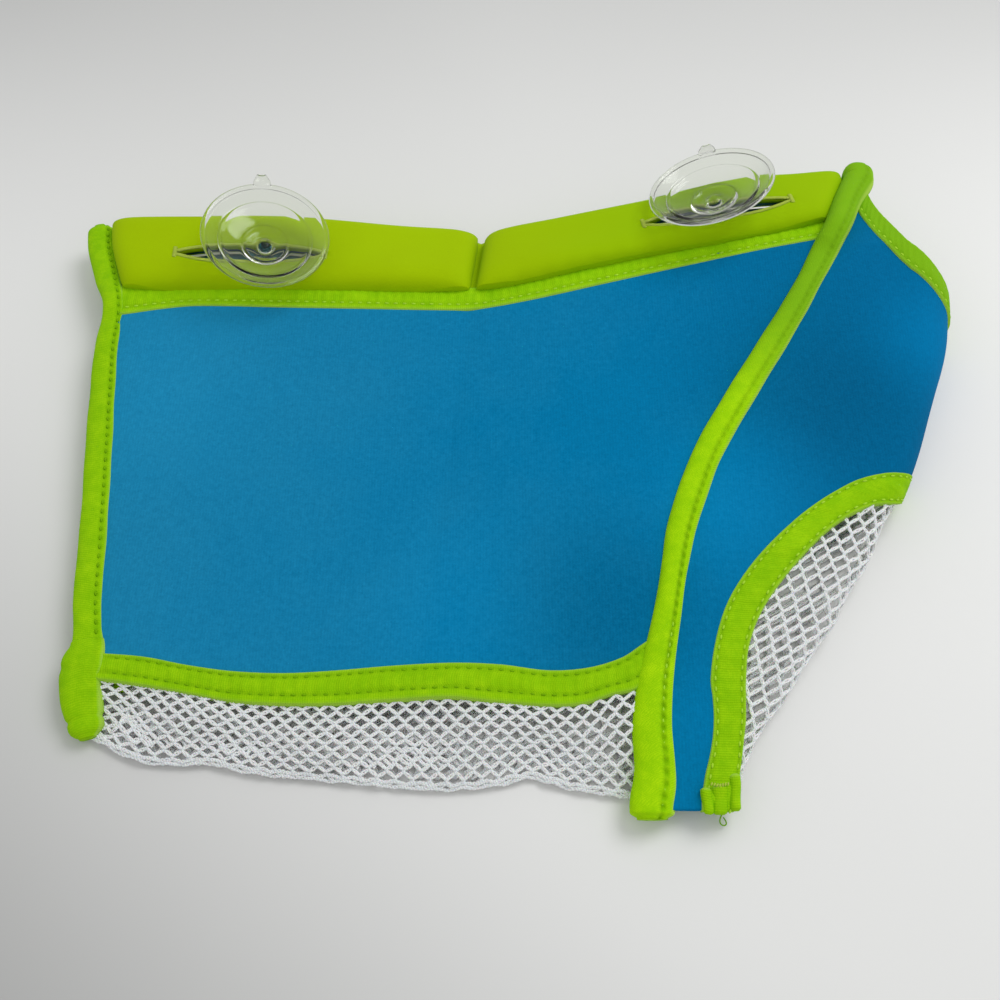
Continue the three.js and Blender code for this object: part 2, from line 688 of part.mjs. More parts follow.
// Left leaf of the front: it lies on the panel's left edge and is sewn into the left seam
const leafFloor = tapeThickness + clothGap;
function leafPoint(u, y, low) {
  return new THREE.Vector3(leftX(y) + knob.width / 2 + 2 * clothGap + u * leafWidth, y, low);
}
const leafLine = (shares, flatY, seamEndY) => shares.map(([place, w]) => [place, lerp(flatY, seamEndY, w)]);
const leafRimAt = (u) => through(leafLine(leafRimShares, leafRimY.table, leafRimY.seam), u);
const leafArchAt = (u) => through(leafLine(leafArchShares, archTableY, leafFootY), u);
function leafSheet(lowY, highY, thick, cols, rows, pierced = false) {
  const at = (u, v) => leafPoint(u, lerp(lowY(u), highY(u), v), leafFloor);
  return slab(at, cols, rows, flat(0), flat(thick), pierced);
}
const frontLeaf = () => leafSheet(leafArchAt, leafRimAt, leafThickness, acrossSteps, alongSteps);
const leafRim = () => leafSheet((u) => leafRimAt(u) + clothGap, (u) => leafRimAt(u) + rimWidth, tapeThickness,
  acrossSteps, 1);
const leafTape = () => leafSheet((u) => leafArchAt(u) - tapeWidth, (u) => leafArchAt(u) - clothGap,
  leafThickness, acrossSteps, 1);
const leafNet = () => leafSheet((u) => lerp(netFootY.left, netFootY.crease, u) + netMargin,
  (u) => leafArchAt(u) - tapeWidth - sideNetGap, netThickness, leafNetSteps.across,
  leafNetSteps.along, true);

// Bound side seams and their ends
function seamPath(seamX, seamZ, lowY, highY) {
  const points = [];
  for (let i = 0; i <= rollSteps; i += 1) {
    const y = lerp(lowY, highY, i / rollSteps);
    points.push(new THREE.Vector3(seamX(y), y, seamZ(y) + neoprene / 2));
  }
  return new THREE.CatmullRomCurve3(points);
}
const knobTop = leftSeamBottom.y + knob.length;
const leftBinding = () => roll(seamPath(leftX, leftZ, knobTop + clothGap, leftSeamTop.y + rollTopOverrun),
  rollSteps, (s) => ({ width: leftRoll.width, height: leftRoll.height * rounded(s, rollTipShare) }));
const wrapRise = (y) => rollWrap.rise * THREE.MathUtils.smoothstep(y, rollWrap.low, rollWrap.high);
function rightBinding() {
  const low = rightSeamBottom.y;
  const high = rightSeamTop.y + rollTopOverrun;
  const path = seamPath(rightX, (y) => rightZ(y) + wrapRise(y) / 2, low, high);
  return roll(path, rollSteps, (s) => ({
    width: rightRoll.width,
    height: (rightRoll.height + wrapRise(path.getPointAt(s).y)) * rounded(s, rollTipShare),
  }));
}
function seamEnd() {
  const path = seamPath(leftX, () => (knob.height - neoprene) / 2, leftSeamBottom.y, knobTop);
  return roll(path, rollSides, (s) => ({
    width: knob.width * rounded(s, knobTipShare), height: knob.height * rounded(s, knobTipShare),
  }));
}
// Layers folded over the foot of the front tape
function flap(inset, length, lift, thick) {
  const startQ = lerp(tapeEdgeShares[0][1], 1, flapStartShare) + inset;
  const middle = rightSeamBottom.y + foldedEnd.length / 2;
  const at = (u, v) => frontPoint(lerp(startQ, flapEndShare - inset, u), middle + (v - 0.5) * length);
  const low = tapeThickness / 2 + lift;
  return slab(at, flapSteps.across, flapSteps.along, flat(low), flat(low + thick));
}
const tapeEnd = () => flap(0, foldedEnd.length, clothGap, foldedEnd.height);
const tapeTack = () => flap(tackInsetShare, tackLength, foldedEnd.height + 2 * clothGap, tackThickness);

const group = new THREE.Group();
const rightHalf = new THREE.Group();
const leftHalf = new THREE.Group();
for (const [half, holder] of [[halves.left, leftHalf], [halves.right, rightHalf]]) {
  holder.add(
    node(`back_panel_${half.name}`, backPanel(half), neopreneBlue),
    node(`back_tape_${half.name}`, backTape(half), tapeGreen),
    node(`back_net_${half.name}`, backNet(half), netWhite),
    node(`band_hem_${half.name}`, bandHem(half), tapeGreen),
    node(`band_cover_${half.name}`, bandCover(half), padLime),
    node(`stiffener_${half.name}`, stiffener(half), plateWhite),
    node(`buttonhole_edge_${half.name}`, buttonholeEdge(half), tapeGreen),
  );
}
leftHalf.add(placedCup('suction_cup_left', halves.left, leftCup));
rightHalf.add(placedCup('suction_cup_right', halves.right, rightCup));
rightHalf.add(node('band_crease', bandCrease(), padLime));
rightHalf.add(node('right_seam_binding', rightBinding(), tapeGreen));
const leftLeaf = new THREE.Group();
leftLeaf.add(
  node('left_seam_binding', leftBinding(), tapeGreen),
  node('left_seam_end', seamEnd(), tapeGreen),
  node('front_leaf', frontLeaf(), neopreneBlue),
  node('leaf_rim', leafRim(), tapeGreen),
  node('leaf_tape', leafTape(), tapeGreen),
  node('leaf_net', leafNet(), netWhite),
);
const front = new THREE.Group();
front.add(
  node('front_panel', frontPanel(), neopreneBlue),
  node('front_rim', frontRim(), tapeGreen),
  node('front_tape', frontTape(), tapeGreen),
  node('side_net', sideNet(), netWhite),
  node('under_net', underNet(), netWhite),
  node('tape_end', tapeEnd(), tapeGreen),
  node('tape_tack', tapeTack(), tapeGreen),
);
group.add(front, leftLeaf, leftHalf, rightHalf);

// The origin is the middle of the base
const box = new THREE.Box3().setFromObject(group, true);
const middle = box.getCenter(new THREE.Vector3());
group.position.set(-middle.x, -middle.y, -box.min.z);

export default group;
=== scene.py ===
import json
import math

import bmesh
import bpy
import numpy as np
from bpy.props import FloatProperty, FloatVectorProperty, IntProperty, PointerProperty
from mathutils import Matrix


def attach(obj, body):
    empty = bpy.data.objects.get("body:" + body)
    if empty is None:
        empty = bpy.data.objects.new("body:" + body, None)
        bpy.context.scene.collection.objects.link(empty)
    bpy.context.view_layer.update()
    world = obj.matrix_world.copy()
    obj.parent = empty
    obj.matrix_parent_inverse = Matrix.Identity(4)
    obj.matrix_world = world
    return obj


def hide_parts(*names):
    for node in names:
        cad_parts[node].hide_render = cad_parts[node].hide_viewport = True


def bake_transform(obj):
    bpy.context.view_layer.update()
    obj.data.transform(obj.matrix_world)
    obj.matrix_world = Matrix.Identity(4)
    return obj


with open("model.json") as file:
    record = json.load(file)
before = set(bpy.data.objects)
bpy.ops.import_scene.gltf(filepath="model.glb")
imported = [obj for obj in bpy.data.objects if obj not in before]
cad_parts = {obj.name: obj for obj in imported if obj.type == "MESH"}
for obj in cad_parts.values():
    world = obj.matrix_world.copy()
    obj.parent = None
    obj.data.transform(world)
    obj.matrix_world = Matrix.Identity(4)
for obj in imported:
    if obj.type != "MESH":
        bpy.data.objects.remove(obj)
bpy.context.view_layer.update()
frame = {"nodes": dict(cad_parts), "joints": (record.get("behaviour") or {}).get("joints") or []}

bl_info = {
    "name": "Corner Bath Toy Pouch",
    "version": (1, 0, 0),
    "blender": (4, 5, 0),
    "location": "View3D > Sidebar > Pouch",
    "description": "Sews a corner bath toy pouch of neoprene, tape and net that lies on its front",
    "category": "Add Mesh",
}

# The drawing is in millimetres, with y = 0 at the middle of the pouch. Tables hold (place, value) pairs.
LEFT_SEAM = [(-103, -143), (134, -175)]
CREASE = [(-118, -27), (130, 0)]
RIGHT_SEAM_ENDS = [(-131, 62), (153, 173)]
RIGHT_SEAM_SWEEP = [(0, 0), (0.11, 0.016), (0.29, 0.1), (0.47, 0.255), (0.56, 0.38), (0.76, 0.715), (1, 1)]
# Height of the back's underside: foot, hem, y of the foot, y of the hem, degrees tipped back above the hem
LEFT_HEIGHT = (6.5, 13, -103, 87, 0)
CREASE_HEIGHT = (8, 13.5, -118, 89, 7)
RIGHT_HEIGHT = (6.5, 31, -131, 112, 8)
# How far the left binding bends away from the straight seam
FLANGE_BEND = [
    (-103, 0), (-67, -0.5), (-16, 1.2), (41, 2.4), (70, 3.4), (92, 5.6), (108, 2.2), (125, -1.4), (140, -2.2),
]

TAPE_TOP = [
    (-158, -70.8), (-141.6, -71.9), (-124.8, -73.4), (-107.8, -76.8), (-91, -79.2), (-71.6, -80.1), (-53, -79.2),
    (-31.2, -77.4), (-9.2, -76.4), (9, -77.2), (27.1, -79.7), (41.9, -78.8), (54.3, -75.1), (61.9, -70.2), (76, -60.8),
]
TAPE_LOW = [
    (-158, -81.2), (-139.9, -82.9), (-123.2, -85.3), (-106.4, -88.4), (-89.7, -91.6), (-70.5, -92.8), (-52.1, -92.9),
    (-30.6, -91.5), (-9, -90.5), (5.3, -92.1), (26.9, -93.7), (39.3, -93.1), (50, -89.8), (59.2, -87.7), (76, -78),
]
HEM_LOW = [
    (-178, 83.2), (-158.9, 86), (-140, 89.4), (-125.2, 90.9), (-80.3, 89.7), (-20, 88), (0.1, 88.2), (20, 91.2),
    (53.5, 98.2), (98, 106.4), (147.4, 114.2), (172, 117.5),
]
PAD_FOOT = [
    (-178, 98), (-162.3, 98.9), (-125.7, 100.2), (-80.9, 100.4), (-20, 99), (0.5, 98), (20, 101.4), (53.9, 108.3),
    (98.6, 115.8), (154.5, 124.4), (176, 127.6),
]
PAD_TOP = {
    "left": [(-178, 139.6), (-169.4, 140.6), (-161.6, 141.3), (-130, 142.6), (-84.5, 143.9), (-37.8, 139.9),
             (-12, 138), (-2, 136)],
    "right": [(0, 133.5), (5, 135.9), (14, 138), (37, 141.8), (74, 148.6), (102, 155.8), (130, 160), (149, 159.9),
              (170, 161)],
}
NET_FOOT = [
    (-150, -98), (-139.2, -102.7), (-130.7, -106.9), (-121.7, -110.2), (-107.7, -111.4), (-94.9, -111.4),
    (-85.8, -113.6), (-72.9, -115.4), (-51.6, -117.3), (-30.1, -119.4), (-8.7, -120.5), (9, -118.7), (16.3, -116.9),
    (21, -116.2), (30.7, -119.1), (41.1, -121.3), (56.5, -123.4), (70, -124),
]
# Slots on the pads' top faces: middle, direction along the band, direction across it
SLOTS = {
    "left": ((-104.05, 116.06, 22.88), (0.9999, -0.0030, -0.0160), (0.0022, 0.9988, -0.0496)),
    "right": ((107.40, 132.77, 32.43), (0.9855, 0.1396, 0.0964), (-0.1200, 0.9754, -0.1850)),
}
SLOT_LENGTH, SLOT_OPENING = 67, 9.4
# How far each cup stands along its slot, its lean in degrees along and across the slot, and its tab's turn
CUP_PLACES = {"left": (6.6, 11.4, 7, 10), "right": (-0.5, -11.1, -4.5, -9.5)}
# Right binding: place along y, how far its middle lies outside the seam, and its width
RIGHT_ROLL = [
    (-133, 0.5, 15.4), (-127.7, 0.7, 15.8), (-120.9, 1.9, 15.9), (-113.9, 2.1, 15.3), (-99.6, 1, 15.4),
    (-85, 0.7, 13.8), (-69.8, 1.5, 12.1), (-54.2, 1.8, 10.9), (-38.1, 0.8, 10.9), (-21.4, -0.4, 11.8),
    (4.6, -0.3, 12.1), (31.9, -0.3, 11.8), (60.7, -1.7, 11.8), (75.7, -2.2, 11.1), (91, -1.9, 10.7),
    (106.8, -1, 11.6), (122.6, 0.5, 11.6), (140.4, 0.7, 12.6), (163, 3.4, 15),
]

BULGE_REACH, BULGE_FOOT, BULGE_TOP_Y = 209, 95, 110
BULGE_SWEEP = [
    (0, 0), (0.058, 0.014), (0.13, 0.112), (0.3, 0.38), (0.44, 0.57), (0.6, 0.752), (0.72, 0.858), (0.84, 0.95), (1, 1),
]
# Mouth binding's outer and inner edge, and the arched tape's blue and net edge, on the front's own shares
RIM_OUTER = [
    (-0.05, 156), (0.231, 146.2), (0.373, 140.5), (0.57, 132.9), (0.75, 126), (0.92, 118.2), (1.09, 108.6),
    (1.25, 99.4), (1.5, 89), (1.75, 86), (2, 85), (3, 85),
]
RIM_INNER = [
    (-0.05, 139.5), (0.17, 131), (0.342, 124.3), (0.588, 114.3), (0.75, 108), (0.873, 103.1), (1, 98),
    (1.123, 91.4), (1.25, 85.2), (1.5, 78.5), (1.75, 77.4), (2, 77), (3, 77),
]
TAPE_BLUE = [
    (0.528, -131), (0.538, -127), (0.590, -120), (0.612, -113), (0.580, -106), (0.515, -98.6), (0.440, -91.3),
    (0.365, -83.8), (0.319, -69), (0.328, -53.4), (0.417, -37.2), (0.575, -20.4), (0.689, -11.8), (0.812, -5.1),
    (0.886, -2.2), (0.996, 0), (1.224, 2.2), (1.5, 5.5), (1.8, 9), (2.1, 11), (2.5, 12), (3, 12),
]
TAPE_NET = [
    (1.021, -131), (1.120, -127), (1.190, -120), (1.120, -113), (0.988, -106), (0.889, -98.8), (0.789, -91.6),
    (0.706, -84.6), (0.611, -72.6), (0.593, -59.7), (0.652, -45.6), (0.774, -29.2), (0.864, -21.2), (0.967, -16.2),
    (1.065, -14), (1.240, -12.2), (1.400, -9.6), (1.6, -6), (1.86, -2.8), (2.13, -1), (2.5, -0.6), (3, -0.6),
]
LEAF_RIM = [(0, 126), (0.12, 104.4), (0.3, 82.8), (0.5, 78), (1, 78)]
LEAF_ARCH = [(0, -84), (0.15, -40.8), (0.35, 0.5), (0.55, 12), (1, 12)]
LEAF_WIDTH, LEAF_INSET, LEAF_Z = 132, 8.8, 3.7
# Left binding and knob along y: sideways shift of the middle, and width. The binding starts at KNOB_TOP.
LEFT_SHIFT = [
    (-103.4, 0.6), (-98, -0.2), (-90, -1.3), (-82, -1.7), (-76, -0.4), (-70, 1.2), (-62, 0.9), (-50, 0), (140, 0),
]
LEFT_WIDTH = [
    (-103.4, 11.2), (-98, 12.6), (-90, 14.4), (-82, 16.2), (-76, 16), (-70, 13.2), (-62, 11.9), (50, 11.6),
    (72, 10.6), (94, 9.6), (108, 11.6), (140, 12.4),
]
KNOB_HEIGHT = [(-104, 4.2), (-96, 5.0), (-85, 7.2), (-75, 9.2), (-60, 9.6)]
KNOB_TOP, KNOB_SIDE = -67, -135
TAPE_WIDTH = 12.7
# Lowest y of the net under the front and of the net under the leaf
FRONT_NET_LOW, LEAF_NET_LOW = -124, -120
# Camera's place in the drawing and its tilt from straight down in degrees; key light's place in metres
EYE, EYE_TILT = (9.0, -229.0, 397.0), 30
KEY_PLACE = (0.62, 0.45, 1.05)
# Share of a binding's half width where its stitches run
LEFT_GROOVE, RIGHT_GROOVE = 0.56, 0.42

# Half the front cloth's thickness, the front's middle height on the table, and where it starts beside the right seam
HALF_CLOTH, TABLE_Z, FRONT_START = 1.25, 1.65, 5
# Share of the way from the left seam to the crease where the front's part on the table ends
PANEL_LEFT = 0.64
# Lowest height of any point above the table
CLEARANCE = 0.1
# Half the width of the band that bends at the crease, and the height of its middle
CREASE_REACH, CREASE_Z = 14, 10
# Side to side shake of the net's strands, in metres
LOOSE = 0.0019



def joint_named(name):
    return next(joint for joint in frame["joints"] if joint["name"] == name)


# Place in the drawing of the frame's own origin, from the foot of the crease
ORIGIN = np.array([foot - way * 1000 for foot, way in zip(CREASE[0][::-1], joint_named("corner_fold")["pos_m"])] + [0])


# Sizes and colours that a user may change
def length(name, description, default):
    return FloatProperty(name=name, description=description, default=default, unit="LENGTH", min=0, precision=4)


def colour(name, description, default):
    return FloatVectorProperty(name=name, description=description, default=default, size=3, subtype="COLOR",
                               min=0, max=1)


class PouchSizes(bpy.types.PropertyGroup):
    neoprene: length("Neoprene", "Thickness of the foam cloth", 0.0025)
    tape_thickness: length("Tape thickness", "Thickness of the folded tape with the cloth in it", 0.0033)
    pad_thickness: length("Pad thickness", "Height of the band's pads at their crown", 0.011)
    stitch_pitch: length("Stitch pitch", "Distance from one lockstitch to the next", 0.004)
    thread: length("Thread", "Diameter of the sewing thread", 0.0009)
    net_pitch: length("Net pitch", "Width of a hole of the net", 0.0062)
    net_row: length("Net row", "Height of a row of holes", 0.0040)
    strand: length("Strand", "Diameter of the net's strands", 0.00086)
    cup_diameter: length("Cup diameter", "Diameter of the suction cups", 0.056)
    cup_depth: length("Cup depth", "How far the cup's rim rises above its hub", 0.008)
    cup_wall: length("Cup wall", "Thickness of the cup's disc", 0.0013)


class PouchColours(bpy.types.PropertyGroup):
    blue: colour("Blue", "Neoprene", (0.0006, 0.192, 0.412))
    # The hazier blue is partly real rubbing of the nap and partly a painted sheen, where light glances off the left end
    blue_worn_sheen: colour("Worn blue with painted sheen", "Nap of the neoprene where it has been rubbed", (0.014, 0.245, 0.455))
    lime: colour("Lime", "Pads of the band", (0.375, 0.555, 0.0003))
    green: colour("Green", "Binding tape", (0.318, 0.650, 0.001))
    roll: colour("Roll", "Fleecy binding of the right seam and the mouth", (0.400, 0.770, 0.001))
    pale: colour("Pale thread", "Close stitches round the slots", (0.520, 0.660, 0.090))
    shaded: colour("Shaded thread", "Sewing thread of the back's tape and the left binding", (0.240, 0.540, 0.001))
    thread: colour("Thread", "Sewing thread", (0.500, 0.850, 0.050))
    net: colour("Net", "Net strands", (0.985, 0.99, 0.99))
    clear: colour("Clear", "Tint of the suction cups", (0.93, 0.95, 0.89))
    table: colour("Table", "Table under the pouch", (0.70, 0.705, 0.695))


class PouchStage(bpy.types.PropertyGroup):
    lens: FloatProperty(name="Lens", description="Focal length on a 36 mm sensor", default=39.5, min=10,
                        unit="CAMERA")
    key_power: FloatProperty(name="Key light", description="Power of the soft light from the upper right",
                             default=6.5, min=0, unit="POWER")
    sky: FloatProperty(name="Sky", description="Strength of the even light from all round", default=0.62, min=0)
    seed: IntProperty(name="Seed", description="Seed of the net's and the stitches' irregularity", default=7)


def sizes():
    return bpy.context.scene.pouch_sizes


def mm(value):
    return value * 1000


# Shape of the pouch
def through(table, place):
    """Smooth value through a table at one place or many"""
    xs, ys = np.array(table, float).T
    last = len(xs) - 1
    at = np.clip(np.asarray(place, float), xs[0], xs[-1])
    i = np.clip(np.searchsorted(xs, at, side="left") - 1, 0, last - 1)
    span = xs[i + 1] - xs[i]
    s = (at - xs[i]) / span
    before, after = np.maximum(i - 1, 0), np.minimum(i + 2, last)
    start = (ys[i + 1] - ys[before]) / (xs[i + 1] - xs[before]) * span
    end = (ys[after] - ys[i]) / (xs[after] - xs[i]) * span
    rise = ys[i + 1] - ys[i]
    return ys[i] + s * (start + s * (3 * rise - 2 * start - end + s * (start + end - 2 * rise)))


def straight(table, place):
    (x0, y0), (x1, y1) = table
    return y0 + (y1 - y0) * (np.asarray(place, float) - x0) / (x1 - x0)


def lerp(a, b, t):
    return a + (b - a) * t


def smooth(low, high, value):
    t = np.clip((value - low) / (high - low), 0, 1)
    return t * t * (3 - 2 * t)


def place(x, y, z):
    return np.stack(np.broadcast_arrays(x, y, z), -1).astype(float)


def left_x(y):
    return straight(LEFT_SEAM, y)


def crease_x(y):
    return straight(CREASE, y)


def right_x(y):
    (y0, x0), (y1, x1) = RIGHT_SEAM_ENDS
    return lerp(x0, x1, through(RIGHT_SEAM_SWEEP, (y - y0) / (y1 - y0)))


def height(line, y):
    foot, hem, foot_y, hem_y, tilt = line
    risen = lerp(foot, hem, (np.minimum(y, hem_y) - foot_y) / (hem_y - foot_y))
    return risen - np.maximum(y - hem_y, 0) * math.tan(math.radians(tilt))


def back_z(x, y):
    """Height of the back's underside, softly creased in the middle"""
    middle = crease_x(y)
    level = 0
    for shift in (-9, -4.5, 0, 4.5, 9):
        outer = np.where(x + shift < middle, left_x(y), right_x(y))
        share = np.abs((x + shift - middle) / (outer - middle))
        ends = np.where(x + shift < middle, height(LEFT_HEIGHT, y), height(RIGHT_HEIGHT, y))
        level = level + lerp(height(CREASE_HEIGHT, y), ends, share) / 5
    return level


def back_x(w, y):
    """w is -1 at the left seam, 0 at the crease and 1 at the right seam"""
    outer = np.where(w < 0, left_x(y) + through(FLANGE_BEND, y), right_x(y))
    return lerp(crease_x(y), outer, np.abs(w))


def ripple(x, y, size=1.0):
    """Slow unevenness of cloth that lies free"""
    wave = np.sin(x / 23 + 0.4 * np.sin(y / 19)) * np.sin(y / 31 + 1.1) + 0.6 * np.sin(x / 41 - y / 27 + 2)
    return size * (wave + 0.35 * np.sin(x / 11 + y / 13))


def bulge_x(y):
    y0 = RIGHT_SEAM_ENDS[0][0]
    return lerp(BULGE_FOOT, BULGE_REACH, through(BULGE_SWEEP, (y - y0) / (BULGE_TOP_Y - y0)))


def bend(y):
    """Section of the front at y: half height, half depth, where it starts to turn, and its middle height"""
    tall = (height(RIGHT_HEIGHT, y) + HALF_CLOTH - TABLE_Z) / 2
    deep = np.minimum(tall * 1.3, (bulge_x(y) - right_x(y)) / 2)
    return tall, deep, bulge_x(y) - deep, TABLE_Z + tall


def front_at(q, y):
    """q runs 0 to 1 over the top from the seam, to 2 round the bulge, and to 3 on the table"""
    q, y = np.broadcast_arrays(np.asarray(q, float), np.asarray(y, float))
    tall, deep, turn, middle = bend(y)
    angle = math.pi / 2 - (np.clip(q, 1, 2) - 1) * math.pi
    x = turn + deep * np.cos(angle)
    x = np.where(q < 1, lerp(right_x(y) + FRONT_START, turn, q), x)
    x = np.where(q > 2, lerp(turn, lerp(left_x(y), crease_x(y), PANEL_LEFT), q - 2), x)
    return place(x, y, middle + tall * np.sin(angle))


def tape_line(share, n=420):
    """Places (q, y) along the front tape: share is 0 at its blue edge and 1 at its net edge"""
    places = lerp(np.array(TAPE_BLUE), np.array(TAPE_NET), share)
    run = arc(front_at(*lerp(np.array(TAPE_BLUE), np.array(TAPE_NET), 0.5).T)[None], 1)[0]
    at = np.linspace(0, run[-1], n)
    return np.stack([through(np.stack([run, column], -1), at) for column in places.T], -1)


# Meshes
def normals_of(grid):
    normal = np.cross(np.gradient(grid, axis=1), np.gradient(grid, axis=0))
    return normal / np.maximum(np.linalg.norm(normal, axis=-1, keepdims=True), 1e-9)


def arc(grid, axis):
    steps = np.linalg.norm(np.diff(grid, axis=axis), axis=-1)
    return np.concatenate([np.zeros_like(np.take(steps, [0], axis)), np.cumsum(steps, axis=axis)], axis=axis)


def build(name, points, faces, uvs=None, painted_light=None):
    """Mesh piece from points in the drawing's millimetres; the last argument holds shares of the painted highlight on
    folded edges and of the painted shade in seam grooves
    """
    mesh = bpy.data.meshes.new(name)
    points = np.array(points, float).reshape(-1, 3)
    points[:, 2] = np.maximum(points[:, 2], CLEARANCE)
    mesh.from_pydata(((points - ORIGIN) / 1000).tolist(), [], faces)
    index = np.zeros(len(mesh.loops), int)
    mesh.loops.foreach_get("vertex_index", index)
    for label, values, unit in (("Cloth", uvs, 1000), ("Wear", painted_light, 1)):
        if values is not None:
            layer = mesh.uv_layers.new(name=label)
            layer.data.foreach_set("uv", (np.asarray(values, float).reshape(-1, 2)[index] / unit).ravel())
    mesh.polygons.foreach_set("use_smooth", [True] * len(mesh.polygons))
    mesh.update()
    made = bpy.data.objects.new(name, mesh)
    bpy.context.scene.collection.objects.link(made)
    return made


def outward(piece):
    """Merges doubles and turns the faces out"""
    soup = bmesh.new()
    soup.from_mesh(piece.data)
    bmesh.ops.remove_doubles(soup, verts=soup.verts, dist=1e-6)
    bmesh.ops.recalc_face_normals(soup, faces=soup.faces)
    soup.to_mesh(piece.data)
    soup.free()
    return piece


def quads(rows, cols, around=False, start=0):
    faces = []
    for j in range(rows - 1):
        for i in range(cols if around else cols - 1):
            k = (i + 1) % cols
            faces.append((start + j * cols + i, start + j * cols + k,
                          start + (j + 1) * cols + k, start + (j + 1) * cols + i))
    return faces


def capped(rows, cols):
    """Faces of stacked rings, with a fan at each end whose centres are the two points after the rings"""
    faces = quads(rows, cols, around=True)
    for j, centre, flip in ((0, rows * cols, True), (rows - 1, rows * cols + 1, False)):
        for i in range(cols):
            a, b = j * cols + i, j * cols + (i + 1) % cols
            faces.append((centre, b, a) if flip else (centre, a, b))
    return faces


def slab(name, grid, low, high, normal=None):
    """Closed sheet over a grid, between two offsets along its normal"""
    rows, cols = grid.shape[:2]
    normal = normals_of(grid) if normal is None else normal
    top = grid + normal * np.broadcast_to(high, (rows, cols))[..., None]
    bottom = grid + normal * np.broadcast_to(low, (rows, cols))[..., None]
    count = rows * cols
    faces = quads(rows, cols)
    faces += [tuple(reversed([p + count for p in face])) for face in quads(rows, cols)]
    loop = list(range(cols)) + [j * cols + cols - 1 for j in range(1, rows)]
    loop += [(rows - 1) * cols + i for i in range(cols - 2, -1, -1)] + [j * cols for j in range(rows - 2, 0, -1)]
    for a, b in zip(loop, loop[1:] + loop[:1]):
        faces.append((b, a, a + count, b + count))
    uv = np.stack([arc(grid, 1), arc(grid, 0)], -1)
    return build(name, np.stack([top, bottom]), faces, np.stack([uv, uv]))


def tube(name, rings, painted_light=None):
    """Closed solid through rings of points, all the way round"""
    shape = np.concatenate([rings.reshape(-1, 3), rings[[0, -1]].mean(1)])
    uv = np.stack([arc(rings, 1), arc(rings, 0)], -1).reshape(-1, 2)
    uv = np.concatenate([uv, uv[[0, -1]]])
    if painted_light is not None:
        painted_light = np.concatenate([painted_light.reshape(-1, 2), np.zeros((2, 2))])
    return outward(build(name, shape, capped(*rings.shape[:2]), uv, painted_light))


def even(n, edge=0.05, dense=4):
    """Shares 0 to 1 with more of them near both ends"""
    near = edge * (1 - np.cos(np.linspace(0, math.pi / 2, dense + 1)))[:-1]
    return np.concatenate([near, np.linspace(edge, 1 - edge, n), 1 - near[::-1]])


def rounding(share, edge=0.05, least=0.12):
    """Thickness near the edges of a strip, as a share"""
    inward = np.clip(np.minimum(share, 1 - share) / edge, 0, 1)
    return np.maximum(np.sqrt(1 - (1 - inward) ** 2), least)


def resampled(line, step):
    """Points a fixed step apart along a polyline"""
    run = np.concatenate([[0], np.cumsum(np.linalg.norm(np.diff(line, axis=0), axis=1))])
    at = np.linspace(0, run[-1], max(int(round(run[-1] / step)) + 1, 2))
    return np.stack([np.interp(at, run, line[:, k]) for k in range(line.shape[1])], -1)


def finish_piece(piece, material, body=None, replaces=(), blend=None):
    """Gives a piece its material and its body, or with a blend only bakes its place into the mesh, and hides the CAD
    nodes that it stands for
    """
    piece.data.materials.clear()
    piece.data.materials.append(material)
    if blend:
        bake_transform(piece)
    else:
        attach(piece, body)
    if replaces:
        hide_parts(*replaces)
    return piece


def over_crease():
    """Blend from the right half to the left half, square across the crease"""
    along = np.array([CREASE[1][1] - CREASE[0][1], CREASE[1][0] - CREASE[0][0]], float)
    along /= np.linalg.norm(along)
    across = np.array([along[1], -along[0]])
    middle = np.array([crease_x(0), 0])
    ends = [(np.append(middle + way * across * CREASE_REACH, CREASE_Z) - ORIGIN) / 1000 for way in (1, -1)]
    return ("right_half", "left_half", tuple(ends[0]), tuple(ends[1]))


def over_seam(side="right", start=-0.004, end=0.024):
    """Blend from a half of the back to the front beside it, square across the seam's hinge"""
    hinge = joint_named(f"{side}_seam_fold")
    across = np.cross(hinge["axis"], (0, 0, 1.0))
    across *= math.copysign(1 / np.linalg.norm(across), across[0] if side == "right" else -across[0])
    middle = np.array(hinge["pos_m"])
    return (f"{side}_half", "front" if side == "right" else "front_left", tuple(middle + across * start),
            tuple(middle + across * end))


def declare(piece, width, tall, held, rests_on):
    """Works out the piece's area, held between a share of the full cut and the full cut, and keeps nothing"""
    area = sum(face.area for face in piece.data.polygons) / 2
    full = width * tall
    min(max(area, 0.31 * full), full)


# Materials
class Wire:
    """A value in a material, whose operators add Math nodes"""

    def __init__(self, recipe, socket):
        self.recipe, self.socket = recipe, socket

    def math(self, operation, *others):
        values = {i + 1: other for i, other in enumerate(others)}
        return self.recipe.node("ShaderNodeMath", {"operation": operation}, {0: self, **values})

    def __add__(self, other): return self.math("ADD", other)
    def __radd__(self, other): return self.math("ADD", other)
    def __mul__(self, other): return self.math("MULTIPLY", other)
    def __rmul__(self, other): return self.math("MULTIPLY", other)
    def __sub__(self, other): return self.math("SUBTRACT", other)
    def __pow__(self, other): return self.math("POWER", other)
    def __rsub__(self, other): return (self * -1).math("ADD", other)
    def sin(self): return self.math("SINE")
    def abs(self): return self.math("ABSOLUTE")

    def clamp(self, low=0.0, high=1.0):
        return self.recipe.node("ShaderNodeClamp", {}, {"Value": self, "Min": low, "Max": high})

    def between(self, low, high):
        return self.recipe.node("ShaderNodeMapRange", {"interpolation_type": "SMOOTHSTEP"},
                                {"Value": self, "From Min": low, "From Max": high})


